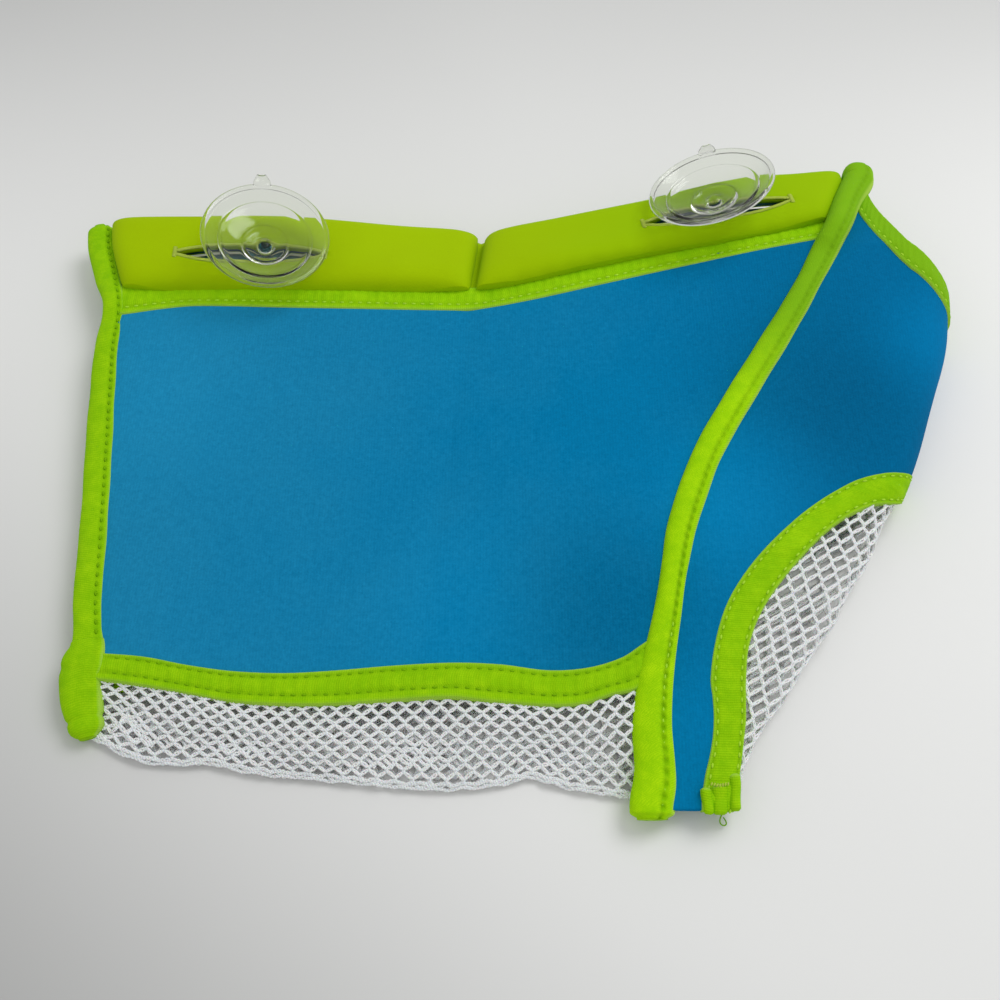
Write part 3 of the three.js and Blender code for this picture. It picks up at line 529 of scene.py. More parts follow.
class Recipe:
    """Node material under construction"""

    def __init__(self, name, **constants):
        self.material = bpy.data.materials.new(name)
        self.material.use_nodes = True
        self.tree = self.material.node_tree
        self.shader = next(n for n in self.tree.nodes if n.type == "BSDF_PRINCIPLED")
        for socket, value in constants.items():
            self.shader.inputs[socket.replace("_", " ")].default_value = value

    def node(self, kind, settings, inputs, output=0):
        made = self.tree.nodes.new(kind)
        for key, value in settings.items():
            if key == "stops":
                ramp = made.color_ramp
                while len(ramp.elements) < len(value):
                    ramp.elements.new(0.5)
                for element, (position, tone) in zip(ramp.elements, value):
                    element.position = position
                    element.color = (*tone, 1)
            else:
                setattr(made, key, value)
        for key, value in inputs.items():
            self.give(made.inputs[key], value)
        return Wire(self, made.outputs[output])

    def give(self, socket, value):
        if isinstance(value, Wire):
            self.tree.links.new(value.socket, socket)
        elif hasattr(socket.default_value, "__len__") and hasattr(value, "__len__") and len(value) == 3 \
                and len(socket.default_value) == 4:
            socket.default_value = (*value, 1)
        else:
            socket.default_value = value

    def set(self, **inputs):
        for key, value in inputs.items():
            self.give(self.shader.inputs[key.replace("_", " ")], value)
        return self.material

    def mix(self, share, a, b, way="MIX"):
        return self.node("ShaderNodeMix", {"data_type": "RGBA", "blend_type": way},
                         {0: share, 6: a, 7: b}, output=2)

    def shaded(self, tone, light):
        grey = self.node("ShaderNodeCombineColor", {}, {0: light, 1: light, 2: light})
        return self.mix(1.0, tone, grey, "MULTIPLY")

    def split(self, vector):
        parts = self.tree.nodes.new("ShaderNodeSeparateXYZ")
        self.give(parts.inputs[0], vector)
        return [Wire(self, parts.outputs[i]) for i in range(3)]

    def object_place(self):
        return self.node("ShaderNodeTexCoord", {}, {}, output="Object")

    def cloth_place(self):
        return self.node("ShaderNodeUVMap", {"uv_map": "Cloth"}, {})

    def painted_light_place(self):
        """Shares of the painted highlight on folded edges and of the painted shade in seam grooves, kept in a map of
        their own
        """
        return self.node("ShaderNodeUVMap", {"uv_map": "Wear"}, {})

    def noise(self, vector, scale, detail=3.0, rough=0.55, warp=0.0):
        return self.node("ShaderNodeTexNoise", {}, {"Vector": vector, "Scale": scale, "Detail": detail,
                                                    "Roughness": rough, "Distortion": warp})

    def bump(self, height_of, strength, distance=0.001):
        return self.node("ShaderNodeBump", {}, {"Strength": strength, "Distance": distance, "Height": height_of})


# Places in the drawing where light and shade are painted on the cloth: x, y, reach, change
LIGHT_SPOTS = [(147, 37, 60, -0.20), (104, -11, 42, 0.26), (43, -60, 48, -0.24), (192, 63, 32, 0.26), (1, -58, 48, 0.14),
         (-142, 44, 55, 0.10), (77, -95, 30, 0.08)]


def jersey(name, main, worn_sheen):
    """Neoprene faced with fine knit: faint ribs and grain, a hazier blue at the left end that is partly rubbing of the
    nap and partly a painted sheen, painted shade towards the right end, and spots of painted light and shade
    """
    recipe = Recipe(name, Roughness=0.8, Sheen_Weight=0.01, Specular_IOR_Level=0.02)
    at = recipe.object_place()
    x, y, _ = recipe.split(at)
    wobble = recipe.noise(at, 160.0, 2.0) - 0.5
    ribs = ((x + wobble * 0.0006) * (2 * math.pi / 0.0012)).sin() * 0.5 + 0.5
    grain = recipe.noise(at, 1500.0, 3.0, 0.7)
    fleck = recipe.noise(at, 520.0, 2.0, 0.6)
    cloud = recipe.noise(at, 13.0, 4.0, 0.6)
    patch = recipe.noise(at, 60.0, 3.0, 0.6)
    # Mask of the hazier blue: a painted sheen at the left end, where light glances off the cloth, with noise for random
    # rubbing of the nap
    rubbed_and_sheened = (1 - (x + 0.19).between(0.02, 0.26)) * 0.8 + (cloud - 0.5) * 0.8
    rubbed_and_sheened = rubbed_and_sheened + (fleck - 0.5) * 0.35 + (patch - 0.5) * 0.25
    tone = recipe.mix(rubbed_and_sheened.clamp(), (*main, 1), (*worn_sheen, 1))
    # Painted shade: the cloth is darker towards the right end
    deep = tuple(c * f for c, f in zip(main, (0.5, 0.70, 0.76)))
    tone = recipe.mix(((x - 0.02).between(0.0, 0.14) * 0.8 + (cloud - 0.5) * 0.3).clamp(), tone, (*deep, 1))
    shade = 0.985 + (ribs - 0.5) * 0.05 + (grain - 0.5) * 0.45 + (fleck - 0.5) * 0.28
    # Painted light and shade in spots, where folds and the turn of the cloth catch or lose the light
    for tone_x, tone_y, reach, change in LIGHT_SPOTS:
        far = (x - float(tone_x - ORIGIN[0]) / 1000) ** 2 + (y - float(tone_y - ORIGIN[1]) / 1000) ** 2
        shade = shade + (1 - (far ** 0.5).between(0, reach / 1000 * 1.3)) * change
    tone = recipe.shaded(tone, shade.clamp(0.4, 1.5))
    relief = ribs * 0.25 + grain * 0.9 + fleck * 0.6
    return recipe.set(Base_Color=tone, Roughness=(0.74 + grain * 0.16).clamp(),
                      Normal=recipe.bump(relief, 0.30, 0.00022))


def padded_jersey(name, main):
    """Lime cloth of the pads: close knit, with painted shade in the seams and towards the right end"""
    recipe = Recipe(name, Roughness=0.7, Sheen_Weight=0.01, Specular_IOR_Level=0.03)
    at = recipe.object_place()
    cloud = recipe.noise(at, 22.0, 3.0)
    grain = recipe.noise(at, 1700.0, 3.0, 0.7)
    x, y, _ = recipe.split(at)
    _, sewn, _ = recipe.split(recipe.painted_light_place())
    knit = (x * (2 * math.pi / 0.0011)).sin() * (y * (2 * math.pi / 0.0009)).sin()
    # Painted shade in the seams, on top of random tone and knit
    light = (0.98 + (cloud - 0.5) * 0.26 + (grain - 0.5) * 0.20 + knit * 0.02 - sewn * 0.4).clamp(0.4, 1.3)
    tone = recipe.shaded((*main, 1), light)
    # Painted shade: the pads are darker towards the right end; the cloud noise varies the tone at random
    deep = (main[0] * 0.80, main[1] * 0.93, main[2])
    tone = recipe.mix(((cloud - 0.35) * 0.6 + (x + 0.06).between(0, 0.14) * 0.8).clamp(), tone, (*deep, 1))
    return recipe.set(Base_Color=tone, Roughness=(0.62 + grain * 0.16).clamp(),
                      Normal=recipe.bump(grain * 0.8 + knit * 0.25 + cloud * 1.5, 0.22, 0.0003))


def woven_tape(name, main, twill=0.0, corner_shade=0.0):
    """Binding tape: fine weft ribs across it, painted highlights on the folded edges, painted shade in the seam grooves
    and towards the far corner
    """
    recipe = Recipe(name, Roughness=0.72, Sheen_Weight=0.01, Specular_IOR_Level=0.04)
    across, along, _ = recipe.split(recipe.cloth_place())
    fold, sewn, _ = recipe.split(recipe.painted_light_place())
    at = recipe.object_place()
    slip = (recipe.noise(at, 420.0, 2.0) - 0.5) * 0.0004
    weft = ((along + across * twill + slip) * (2 * math.pi / 0.0009)).sin() * 0.5 + 0.5
    warp = ((across - along * twill + slip) * (2 * math.pi / 0.0008)).sin() * 0.5 + 0.5
    grain = recipe.noise(at, 1600.0, 3.0, 0.7)
    mottle = recipe.noise(at, 170.0, 4.0, 0.65)
    cloud = recipe.noise(at, 36.0, 3.0)
    pale = tuple(min(c * f + a, 1) for c, f, a in zip(main, (1.45, 1.20, 1.0), (0.01, 0.0, 0.006)))
    # Colour of the painted highlight on the folded edges
    edge = tuple(min(c * f + a, 1) for c, f, a in zip(main, (1.1, 0.96, 1.0), (0.05, 0.02, 0.085)))
    deep = tuple(c * f for c, f in zip(main, (0.60, 0.74, 0.8)))
    tone = recipe.mix((mottle * 0.8 + cloud * 0.6 - 0.15).clamp(), (*deep, 1), (*main, 1))
    tone = recipe.mix((weft * 0.30 + (grain - 0.5) * 1.1 + (mottle - 0.5) * 0.9 - 0.05).clamp(), tone, (*pale, 1))
    # Painted shade towards the upper right corner of the roll
    if corner_shade:
        x, y, _ = recipe.split(at)
        reach = (x + y + float(ORIGIN[0] + ORIGIN[1]) / 1000).between(0.12, 0.23)
        tone = recipe.mix(reach * corner_shade, tone, (*tuple(c * f for c, f in zip(main, (0.46, 0.56, 8))), 1))
    # Painted highlight on the folded edges
    tone = recipe.mix((fold * 0.8).clamp(), tone, (*edge, 1))
    # Painted shade in the seam grooves
    tone = recipe.mix((sewn * 0.40).clamp(), tone, (*tuple(c * 0.6 for c in deep), 1))
    relief = weft * 0.6 + warp * 0.3 + grain * 0.6 + mottle * 0.8
    return recipe.set(Base_Color=tone, Roughness=(0.6 + grain * 0.2).clamp(),
                      Normal=recipe.bump(relief, 0.40, 0.0003))


def sewing_thread(name, main):
    """Twisted polyester thread"""
    recipe = Recipe(name, Roughness=0.7, Specular_IOR_Level=0.06)
    at = recipe.object_place()
    x, y, z = recipe.split(at)
    twist = ((x + y * 0.8 + z * 0.6) * (2 * math.pi / 0.0005)).sin() * 0.5 + 0.5
    mottle = recipe.noise(at, 260.0, 2.0)
    dark = tuple(c * 0.7 for c in main)
    tone = recipe.mix((twist * 0.5 + mottle * 0.8 - 0.1).clamp(), (*dark, 1), (*main, 1))
    return recipe.set(Base_Color=tone, Roughness=(0.42 + mottle * 0.2).clamp(),
                      Normal=recipe.bump(twist, 0.4, 0.0002))


def knitted_strand(name, main):
    """White net: fluffy knitted strands, a little grey between the threads"""
    recipe = Recipe(name, Roughness=0.62, Sheen_Weight=0.3, Specular_IOR_Level=0.35, Subsurface_Weight=0.12,
                    Subsurface_Scale=0.001)
    at = recipe.object_place()
    x, y, z = recipe.split(at)
    ply = ((x * 0.9 + y * 0.6 - z * 0.4) * (2 * math.pi / 0.0009)).sin() * 0.5 + 0.5
    fuzz = recipe.noise(at, 1500.0, 3.0, 0.7)
    cloud = recipe.noise(at, 60.0, 2.0)
    grey = tuple(c * 0.86 for c in main)
    tone = recipe.mix((0.5 + ply * 0.4 + (fuzz - 0.5) * 1.0 + (cloud - 0.5) * 0.4).clamp(), (*grey, 1), (*main, 1))
    return recipe.set(Base_Color=tone, Roughness=(0.5 + fuzz * 0.25).clamp(),
                      Normal=recipe.bump(ply + fuzz * 1.2, 0.5, 0.0003))


def clear_plastic(name, tint):
    """Clear soft vinyl with a faint haze and fine scuffs"""
    recipe = Recipe(name, Roughness=0.06, IOR=1.25, Transmission_Weight=1.0, Specular_IOR_Level=0.5,
                    Coat_Weight=0.35, Coat_Roughness=0.08, Coat_IOR=1.45)
    edge = recipe.node("ShaderNodeLayerWeight", {}, {"Blend": 0.5}, output="Facing")
    recipe.set(Base_Color=recipe.mix(edge ** 2.4, (*tint, 1), (*tuple(c * 0.16 for c in tint), 1)))
    at = recipe.object_place()
    haze = recipe.noise(at, 90.0, 3.0)
    scuff = recipe.noise(at, 900.0, 2.0, 0.6, 1.2)
    return recipe.set(Roughness=(0.03 + haze * 0.07 + (scuff - 0.55).clamp() * 0.2).clamp(),
                      Normal=recipe.bump(haze + scuff * 0.05, 0.06, 0.0006))


def moulded_plate(name, main):
    """Plain plastic sheet with a fine mould grain"""
    recipe = Recipe(name, Roughness=0.5, Specular_IOR_Level=0.4)
    at = recipe.object_place()
    grain = recipe.noise(at, 900.0, 3.0)
    cloud = recipe.noise(at, 30.0, 2.0)
    tone = recipe.mix(cloud, (*main, 1), (*tuple(c * 0.86 for c in main), 1))
    return recipe.set(Base_Color=tone, Roughness=(0.4 + grain * 0.25).clamp(),
                      Normal=recipe.bump(grain, 0.2, 0.0002))


def table_top(name, main):
    """Pale matt table with painted light and shade, darker towards the top and the lower left and lighter to the right,
    and a few specks
    """
    recipe = Recipe(name, Roughness=0.55, Specular_IOR_Level=0.25)
    at = recipe.object_place()
    x, y, _ = recipe.split(at)
    cloud = recipe.noise(at, 3.2, 4.0, 0.5)
    grain = recipe.noise(at, 340.0, 3.0, 0.6)
    # Painted light and shade: darker towards the top and its far corners and towards the lower left, lighter to the
    # right
    far, near = (y - 0.08).between(0.0, 0.34), (x * -0.8 - y).between(0.10, 0.46)
    lit = 0.907 - far * 0.44 - (x.abs() * far) * 0.5 - near * 0.85 + (x - 0.1).clamp() * 0.3
    shade = recipe.mix((lit + (cloud - 0.5) * 0.10).clamp(), tuple(c * 0.50 for c in main) + (1,),
                       tuple(min(c * 1.25, 1) for c in main) + (1,))
    speck = recipe.node("ShaderNodeTexVoronoi", {"feature": "F1"}, {"Vector": at, "Scale": 14.0}, output="Distance")
    shade = recipe.mix((1 - speck.between(0.012, 0.02)) * 0.35, shade, (0.25, 0.23, 0.21, 1))
    return recipe.set(Base_Color=shade, Roughness=(0.45 + grain * 0.15).clamp(),
                      Normal=recipe.bump(grain, 0.03, 0.0002))


LOOKS = {}


def look(name):
    """Materials by the maker's name, built on first use"""
    if name not in LOOKS:
        colours = bpy.context.scene.pouch_colours
        makers = {
            "blue neoprene": lambda: jersey("blue_neoprene", colours.blue, colours.blue_worn_sheen),
            # Painted shade: a darker, teal copy of the blue neoprene for the cloth seen down in the slots
            "shaded slot lining": lambda: jersey("shaded_slot_lining", (0.012, 0.15, 0.19), (0.03, 0.21, 0.24)),
            "lime pad": lambda: padded_jersey("lime_pad", colours.lime),
            "green tape": lambda: woven_tape("green_tape", colours.green),
            "green roll": lambda: woven_tape("green_roll", colours.roll, twill=0.55, corner_shade=0.85),
            "thread": lambda: sewing_thread("green_thread", colours.thread),
            "shaded thread": lambda: sewing_thread("shaded_thread", colours.shaded),
            "pale thread": lambda: sewing_thread("pale_thread", colours.pale),
            "net": lambda: knitted_strand("white_net", colours.net),
            "clear": lambda: clear_plastic("clear_pvc", colours.clear),
            "plate": lambda: moulded_plate("stiffener_plate", (0.03, 0.11, 0.12)),
            "table": lambda: table_top("table_top", colours.table),
        }
        LOOKS[name] = makers[name]()
    return LOOKS[name]


# Repeated threads, made with Geometry Nodes
def tree_with(name, inputs):
    """Empty geometry tree with a geometry input, named number inputs and a geometry output"""
    tree = bpy.data.node_groups.new(name, "GeometryNodeTree")
    tree.interface.new_socket("Geometry", in_out="INPUT", socket_type="NodeSocketGeometry")
    for label, kind, default in inputs:
        socket = tree.interface.new_socket(label, in_out="INPUT", socket_type=kind)
        if default is not None:
            socket.default_value = default
    tree.interface.new_socket("Geometry", in_out="OUTPUT", socket_type="NodeSocketGeometry")
    return tree, tree.nodes.new("NodeGroupInput"), tree.nodes.new("NodeGroupOutput")


def wired(tree, kind, settings=None, **links):
    """Node with its inputs set or linked, by name or as i0, i1 and so on"""
    node = tree.nodes.new(kind)
    for key, value in (settings or {}).items():
        setattr(node, key, value)
    for key, value in links.items():
        numbered = key[0] == "i" and key[1:].isdigit()
        socket = node.inputs[int(key[1:]) if numbered else key.replace("_", " ")]
        if isinstance(value, bpy.types.NodeSocket):
            tree.links.new(value, socket)
        else:
            socket.default_value = value
    return node


def strand_tree():
    """Edges of a lattice become knitted strands"""
    tree, given, out = tree_with("Strands", [
        ("Strand", "NodeSocketFloat", 0.001), ("Loose", "NodeSocketFloat", 0.0002), ("Seed", "NodeSocketInt", 0),
        ("Material", "NodeSocketMaterial", None)])
    line = wired(tree, "GeometryNodeMeshToCurve", Mesh=given.outputs["Geometry"])
    shake = wired(tree, "ShaderNodeTexNoise", {"noise_dimensions": "4D"}, Scale=210.0, W=given.outputs["Seed"])
    middle = wired(tree, "ShaderNodeVectorMath", {"operation": "SUBTRACT"}, i0=shake.outputs["Color"],
                   i1=(0.5, 0.5, 0.5))
    scaled = wired(tree, "ShaderNodeVectorMath", {"operation": "SCALE"}, i0=middle.outputs[0],
                   Scale=given.outputs["Loose"])
    moved = wired(tree, "GeometryNodeSetPosition", Geometry=line.outputs[0], Offset=scaled.outputs[0])
    swell = wired(tree, "GeometryNodeInputNamedAttribute", {"data_type": "FLOAT"}, Name="swell")
    radius = wired(tree, "ShaderNodeMath", {"operation": "MULTIPLY"}, i0=swell.outputs[0],
                   i1=given.outputs["Strand"])
    sized = wired(tree, "GeometryNodeSetCurveRadius", Curve=moved.outputs[0], Radius=radius.outputs[0])
    ring = wired(tree, "GeometryNodeCurvePrimitiveCircle", {"mode": "RADIUS"}, Resolution=4, Radius=0.5)
    solid = wired(tree, "GeometryNodeCurveToMesh", Curve=sized.outputs[0], Profile_Curve=ring.outputs[0],
                  Fill_Caps=True)
    if "Scale" in solid.inputs:
        tree.links.new(radius.outputs[0], solid.inputs["Scale"])
    real = wired(tree, "GeometryNodeRealizeInstances", Geometry=solid.outputs[0])
    done = wired(tree, "GeometryNodeSetMaterial", Geometry=real.outputs[0], Material=given.outputs["Material"])
    tree.links.new(done.outputs[0], out.inputs[0])
    return tree


def stitch_tree():
    """Short threads at a fixed pitch along lines, lying flat on the cloth"""
    tree, given, out = tree_with("Stitches", [
        ("Pitch", "NodeSocketFloat", 0.004), ("Length", "NodeSocketFloat", 0.003),
        ("Thread", "NodeSocketFloat", 0.0007), ("Turn", "NodeSocketFloat", 0.0), ("Seed", "NodeSocketInt", 0),
        ("Material", "NodeSocketMaterial", None)])
    line = wired(tree, "GeometryNodeMeshToCurve", Mesh=given.outputs["Geometry"])
    even_line = wired(tree, "GeometryNodeResampleCurve", {"mode": "LENGTH"}, Curve=line.outputs[0],
                      Length=given.outputs["Pitch"])
    lie = wired(tree, "GeometryNodeInputNamedAttribute", {"data_type": "FLOAT_VECTOR"}, Name="lie")
    way = wired(tree, "GeometryNodeInputTangent")
    upright = wired(tree, "FunctionNodeAlignRotationToVector", {"axis": "Z"}, Vector=lie.outputs[0])
    along = wired(tree, "FunctionNodeAlignRotationToVector", {"axis": "X", "pivot_axis": "Z"},
                  Rotation=upright.outputs[0], Vector=way.outputs[0])
    chance = wired(tree, "FunctionNodeRandomValue", {"data_type": "FLOAT"}, i2=-0.09, i3=0.09,
                   Seed=given.outputs["Seed"])
    angle = wired(tree, "ShaderNodeMath", {"operation": "ADD"}, i0=given.outputs["Turn"], i1=chance.outputs[1])
    spin = wired(tree, "FunctionNodeAxisAngleToRotation", Axis=(0, 0, 1), Angle=angle.outputs[0])
    turned = wired(tree, "FunctionNodeRotateRotation", {"rotation_space": "LOCAL"}, i0=along.outputs[0],
                   i1=spin.outputs[0])
    bead = wired(tree, "GeometryNodeMeshUVSphere", Segments=8, Rings=5, Radius=0.5)
    smooth_bead = wired(tree, "GeometryNodeSetShadeSmooth", Geometry=bead.outputs[0])
    size = wired(tree, "ShaderNodeCombineXYZ", X=given.outputs["Length"], Y=given.outputs["Thread"],
                 Z=given.outputs["Thread"])
    many = wired(tree, "GeometryNodeInstanceOnPoints", Points=even_line.outputs[0], Instance=smooth_bead.outputs[0],
                 Rotation=turned.outputs[0], Scale=size.outputs[0])
    real = wired(tree, "GeometryNodeRealizeInstances", Geometry=many.outputs[0])
    done = wired(tree, "GeometryNodeSetMaterial", Geometry=real.outputs[0], Material=given.outputs["Material"])
    tree.links.new(done.outputs[0], out.inputs[0])
    return tree


TREES = {}


def grown(name, points, edges, kind, attributes, **values):
    """Runs a tree on a mesh of lines and gives back the plain mesh piece"""
    if kind not in TREES:
        TREES[kind] = {"strands": strand_tree, "stitches": stitch_tree}[kind]()
    tree = TREES[kind]
    mesh = bpy.data.meshes.new(name + "_lines")
    mesh.from_pydata(((np.asarray(points) - ORIGIN) / 1000).tolist(), [tuple(e) for e in edges], [])
    for label, data in attributes.items():
        data = np.asarray(data, np.float32)
        layer = mesh.attributes.new(label, "FLOAT" if data.ndim == 1 else "FLOAT_VECTOR", "POINT")
        layer.data.foreach_set("value" if data.ndim == 1 else "vector", data.ravel())
    holder = bpy.data.objects.new(name + "_lines", mesh)
    bpy.context.scene.collection.objects.link(holder)
    modifier = holder.modifiers.new("Threads", "NODES")
    modifier.node_group = tree
    for item in tree.interface.items_tree:
        if item.in_out == "INPUT" and item.name in values:
            modifier[item.identifier] = values[item.name]
    depsgraph = bpy.context.evaluated_depsgraph_get()
    solid = bpy.data.meshes.new_from_object(holder.evaluated_get(depsgraph))
    solid.name = name
    spots = np.empty(len(solid.vertices) * 3)
    solid.vertices.foreach_get("co", spots)
    spots[2::3] = np.maximum(spots[2::3], CLEARANCE / 1000)
    solid.vertices.foreach_set("co", spots)
    bpy.data.objects.remove(holder)
    bpy.data.meshes.remove(mesh)
    made = bpy.data.objects.new(name, solid)
    bpy.context.scene.collection.objects.link(made)
    solid.polygons.foreach_set("use_smooth", [True] * len(solid.polygons))
    return made


def stitches(name, lines, lies, turn=0.0, pitch=None, reach=0.52, thread=None, material="thread"):
    """Stitch piece along several lines; lies hold the cloth's normals there"""
    pitch = pitch or sizes().stitch_pitch
    thread = thread or sizes().thread
    points, edges, start = [], [], 0
    for line in lines:
        points.append(line)
        edges += [(start + i, start + i + 1) for i in range(len(line) - 1)]
        start += len(line)
    return grown(name, np.concatenate(points), edges, "stitches", {"lie": np.concatenate(lies)}, Pitch=pitch,
                 Length=pitch * reach, Thread=thread, Turn=turn, Seed=bpy.context.scene.pouch_stage.seed,
                 Material=look(material))


def sew(name, lines, lies, body=None, blend=None, material="thread", replaces=(), **settings):
    """Stitches as a finished piece"""
    finish_piece(stitches(name, lines, lies, material=material, **settings), look(material), body,
                 replaces, blend)


def hex_net(width, tall, pitch, row):
    """Points and edges of a honeycomb net over a rectangle, in flat millimetres"""
    cols, rows = int(width / (pitch / 2)) + 1, int(tall / row) + 1
    kink = row * 0.38
    i, j = np.meshgrid(np.arange(cols + 1), np.arange(rows + 1))
    x = i * pitch / 2
    y = j * row + np.where((i + j) % 2 == 0, kink, -kink)
    index = (j * (cols + 1) + i)
    along = np.stack([index[:, :-1].ravel(), index[:, 1:].ravel()], -1)
    rising = ((i + j) % 2 == 0)[:-1]
    up_from = index[:-1][rising]
    down_to = index[1:][rising]
    return np.stack([x.ravel(), y.ravel()], -1), np.concatenate([along, np.stack([up_from, down_to], -1)])


def net_piece(name, flat, edges, mapped, keep, cords=()):
    """Two strands along each lattice edge whose ends are both kept, and along the cords, apart at their middles"""
    for cord in cords:
        at = len(flat) + np.arange(len(cord) - 1)
        flat, keep = np.concatenate([flat, cord]), np.concatenate([keep, np.ones(len(cord), bool)])
        edges = np.concatenate([edges, np.stack([at, at + 1], -1)])
    used = edges[keep[edges[:, 0]] & keep[edges[:, 1]]]
    ends = mapped(flat[np.unique(used)])
    order = np.full(len(flat), -1)
    order[np.unique(used)] = np.arange(len(ends))
    used = order[used]
    centre = (ends[used[:, 0]] + ends[used[:, 1]]) / 2
    side = np.cross(ends[used[:, 1]] - ends[used[:, 0]], (0, 0, 1.0))
    side /= np.maximum(np.linalg.norm(side, axis=1, keepdims=True), 1e-6)
    points = np.concatenate([ends, centre + side * 0.42, centre - side * 0.42 + (0, 0, 0.2)])
    lines = []
    for twin in (0, 1):
        middles = len(ends) + len(used) * twin + np.arange(len(used))
        lines += [np.stack([used[:, 0], middles], -1), np.stack([middles, used[:, 1]], -1)]
    swell = np.concatenate([np.full(len(ends), 1.5), np.full(2 * len(centre), 0.9)])
    return grown(name, points, np.concatenate(lines), "strands", {"swell": swell}, Strand=sizes().strand, Loose=LOOSE,
                 Seed=bpy.context.scene.pouch_stage.seed, Material=look("net"))


# Strips
def strip(name, first, second, lift=0.0, thick=None, normals=None, grooves=(0.15, 0.85), pucker=0.22, on=None):
    """Folded tape between two lines of equal counts, with stitch grooves and puckers; on lays places on a surface"""
    thick = thick or mm(sizes().tape_thickness)
    share = even(14, 0.08, 4)
    grid = first[None] + (second - first)[None] * share[:, None, None]
    if on:
        grid = on(*np.moveaxis(grid, -1, 0))
    normal = normals_of(grid)
    if normals is not None:
        normal = normal * np.sign((normal * normals[None]).sum(-1, keepdims=True))
    run = arc(grid, 1)
    pitch = mm(sizes().stitch_pitch)
    rim = rounding(share, 0.07, 0.1)[:, None]
    relief = rim * (thick - 0.35) + 0.35
    sewn = np.zeros(len(share))
    for groove in grooves:
        dent = np.exp(-((share - groove) / 0.045) ** 2)
        sewn = np.maximum(sewn, dent)
        relief = relief - dent[:, None] * (0.42 + pucker * np.cos(run * 2 * math.pi / pitch))
    belly = np.exp(-((share - 0.5) / 0.22) ** 2)[:, None]
    relief = relief + belly * (0.15 + 0.30 * np.sin(run / 5.3) * np.sin(run / 17 + 1) + 0.14 * np.sin(run / 2.1))
    relief = relief + 0.12 * np.sin(run * 2 * math.pi / pitch + 1) * np.exp(-((share - 0.5) / 0.42) ** 2)[:, None]
    top = grid + normal * (lift + relief)[..., None]
    bottom = grid + normal * lift
    rings = np.concatenate([top, bottom[::-1]]).transpose(1, 0, 2)
    # Shares of painted light: a painted highlight along both folded edges and painted shade in the stitch grooves
    fold = np.exp(-(np.minimum(share, 1 - share) / 0.055) ** 2)
    painted_light = np.stack([np.concatenate([fold, fold[::-1]]), np.concatenate([sewn, 0 * sewn])], -1)
    piece = tube(name, rings, np.broadcast_to(painted_light[None], (*rings.shape[:2], 2)))
    lines, lies = [], []
    for groove in grooves:
        k = int(np.argmin(np.abs(share - groove)))
        line = lerp(first, second, groove)
        lines.append((on(*line.T) if on else line) + normal[k] * (lift + thick - 0.30))
        lies.append(normal[k])
    return piece, lines, lies


def roll_rings(path, width, tall, groove=None, bumps=0.0, sides=36, phase=0.0):
    """Rings of a bound seam and their shares of painted light: a fat fold, with a stitched flange beside the groove,
    painted shade in the groove and a painted highlight on the flange's outer edge
    """
    n = len(path)
    ahead = np.gradient(path, axis=0)
    ahead /= np.linalg.norm(ahead, axis=1, keepdims=True)
    across = np.cross(ahead, (0, 0, 1))
    across /= np.linalg.norm(across, axis=1, keepdims=True)
    rise = np.cross(across, ahead)
    run = arc(path[None], 1)[0]
    angle = np.linspace(0, 2 * math.pi, sides, endpoint=False)
    a, h = np.cos(angle)[None], np.sin(angle)[None]
    a = np.sign(a) * np.abs(a) ** 0.82
    h = np.sign(h) * np.abs(h) ** 0.82
    tall = np.broadcast_to(tall, n)[:, None]
    width = np.broadcast_to(width, n)[:, None]
    level = h * tall / 2
    sewn = np.zeros((n, sides))
    fold = np.zeros((n, sides))
    if groove is not None:
        spot, depth, fall = groove
        depth, fall = (np.broadcast_to(value, n)[:, None] for value in (depth, fall))
        upper = np.clip(h * 3, 0, 1)
        dent = np.exp(-((a - spot) / 0.12) ** 2)
        beyond = 1 / (1 + np.exp(-(a - spot) * 16))
        stitch = 1 + 0.5 * np.cos(run * 2 * math.pi / mm(sizes().stitch_pitch))[:, None]
        level = level - upper * (dent * depth * stitch + beyond * fall)
        # Painted shade in the stitched groove and a painted highlight along the flange's outer edge
        sewn = dent * upper * np.clip(depth, 0, 1)
        fold = np.broadcast_to(np.clip((a - 0.8) / 0.14, 0, 1) * np.clip(h * 4 + 1, 0, 1), (n, sides))
    run = run[:, None]
    lump = bumps * (np.sin(run / 9 + phase) + np.sin(run / 4.1 + angle[None] * 2 + phase)) / 2
    level = level * (1 + lump)
    reach = a * width / 2 * (1 + lump * 0.6)
    rings = path[:, None] + across[:, None] * reach[..., None] + rise[:, None] * level[..., None]
    return rings, across, rise, np.stack([fold, sewn], -1)


def tip(n, share, least=0.25):
    """Taper of a roll whose ends are rounded off over a share of its length"""
    s = np.linspace(0, 1, n)
    inside = np.clip(np.minimum(s, 1 - s) / share, 0, 1)
    return np.maximum(np.sqrt(1 - (1 - inside) ** 2), least)


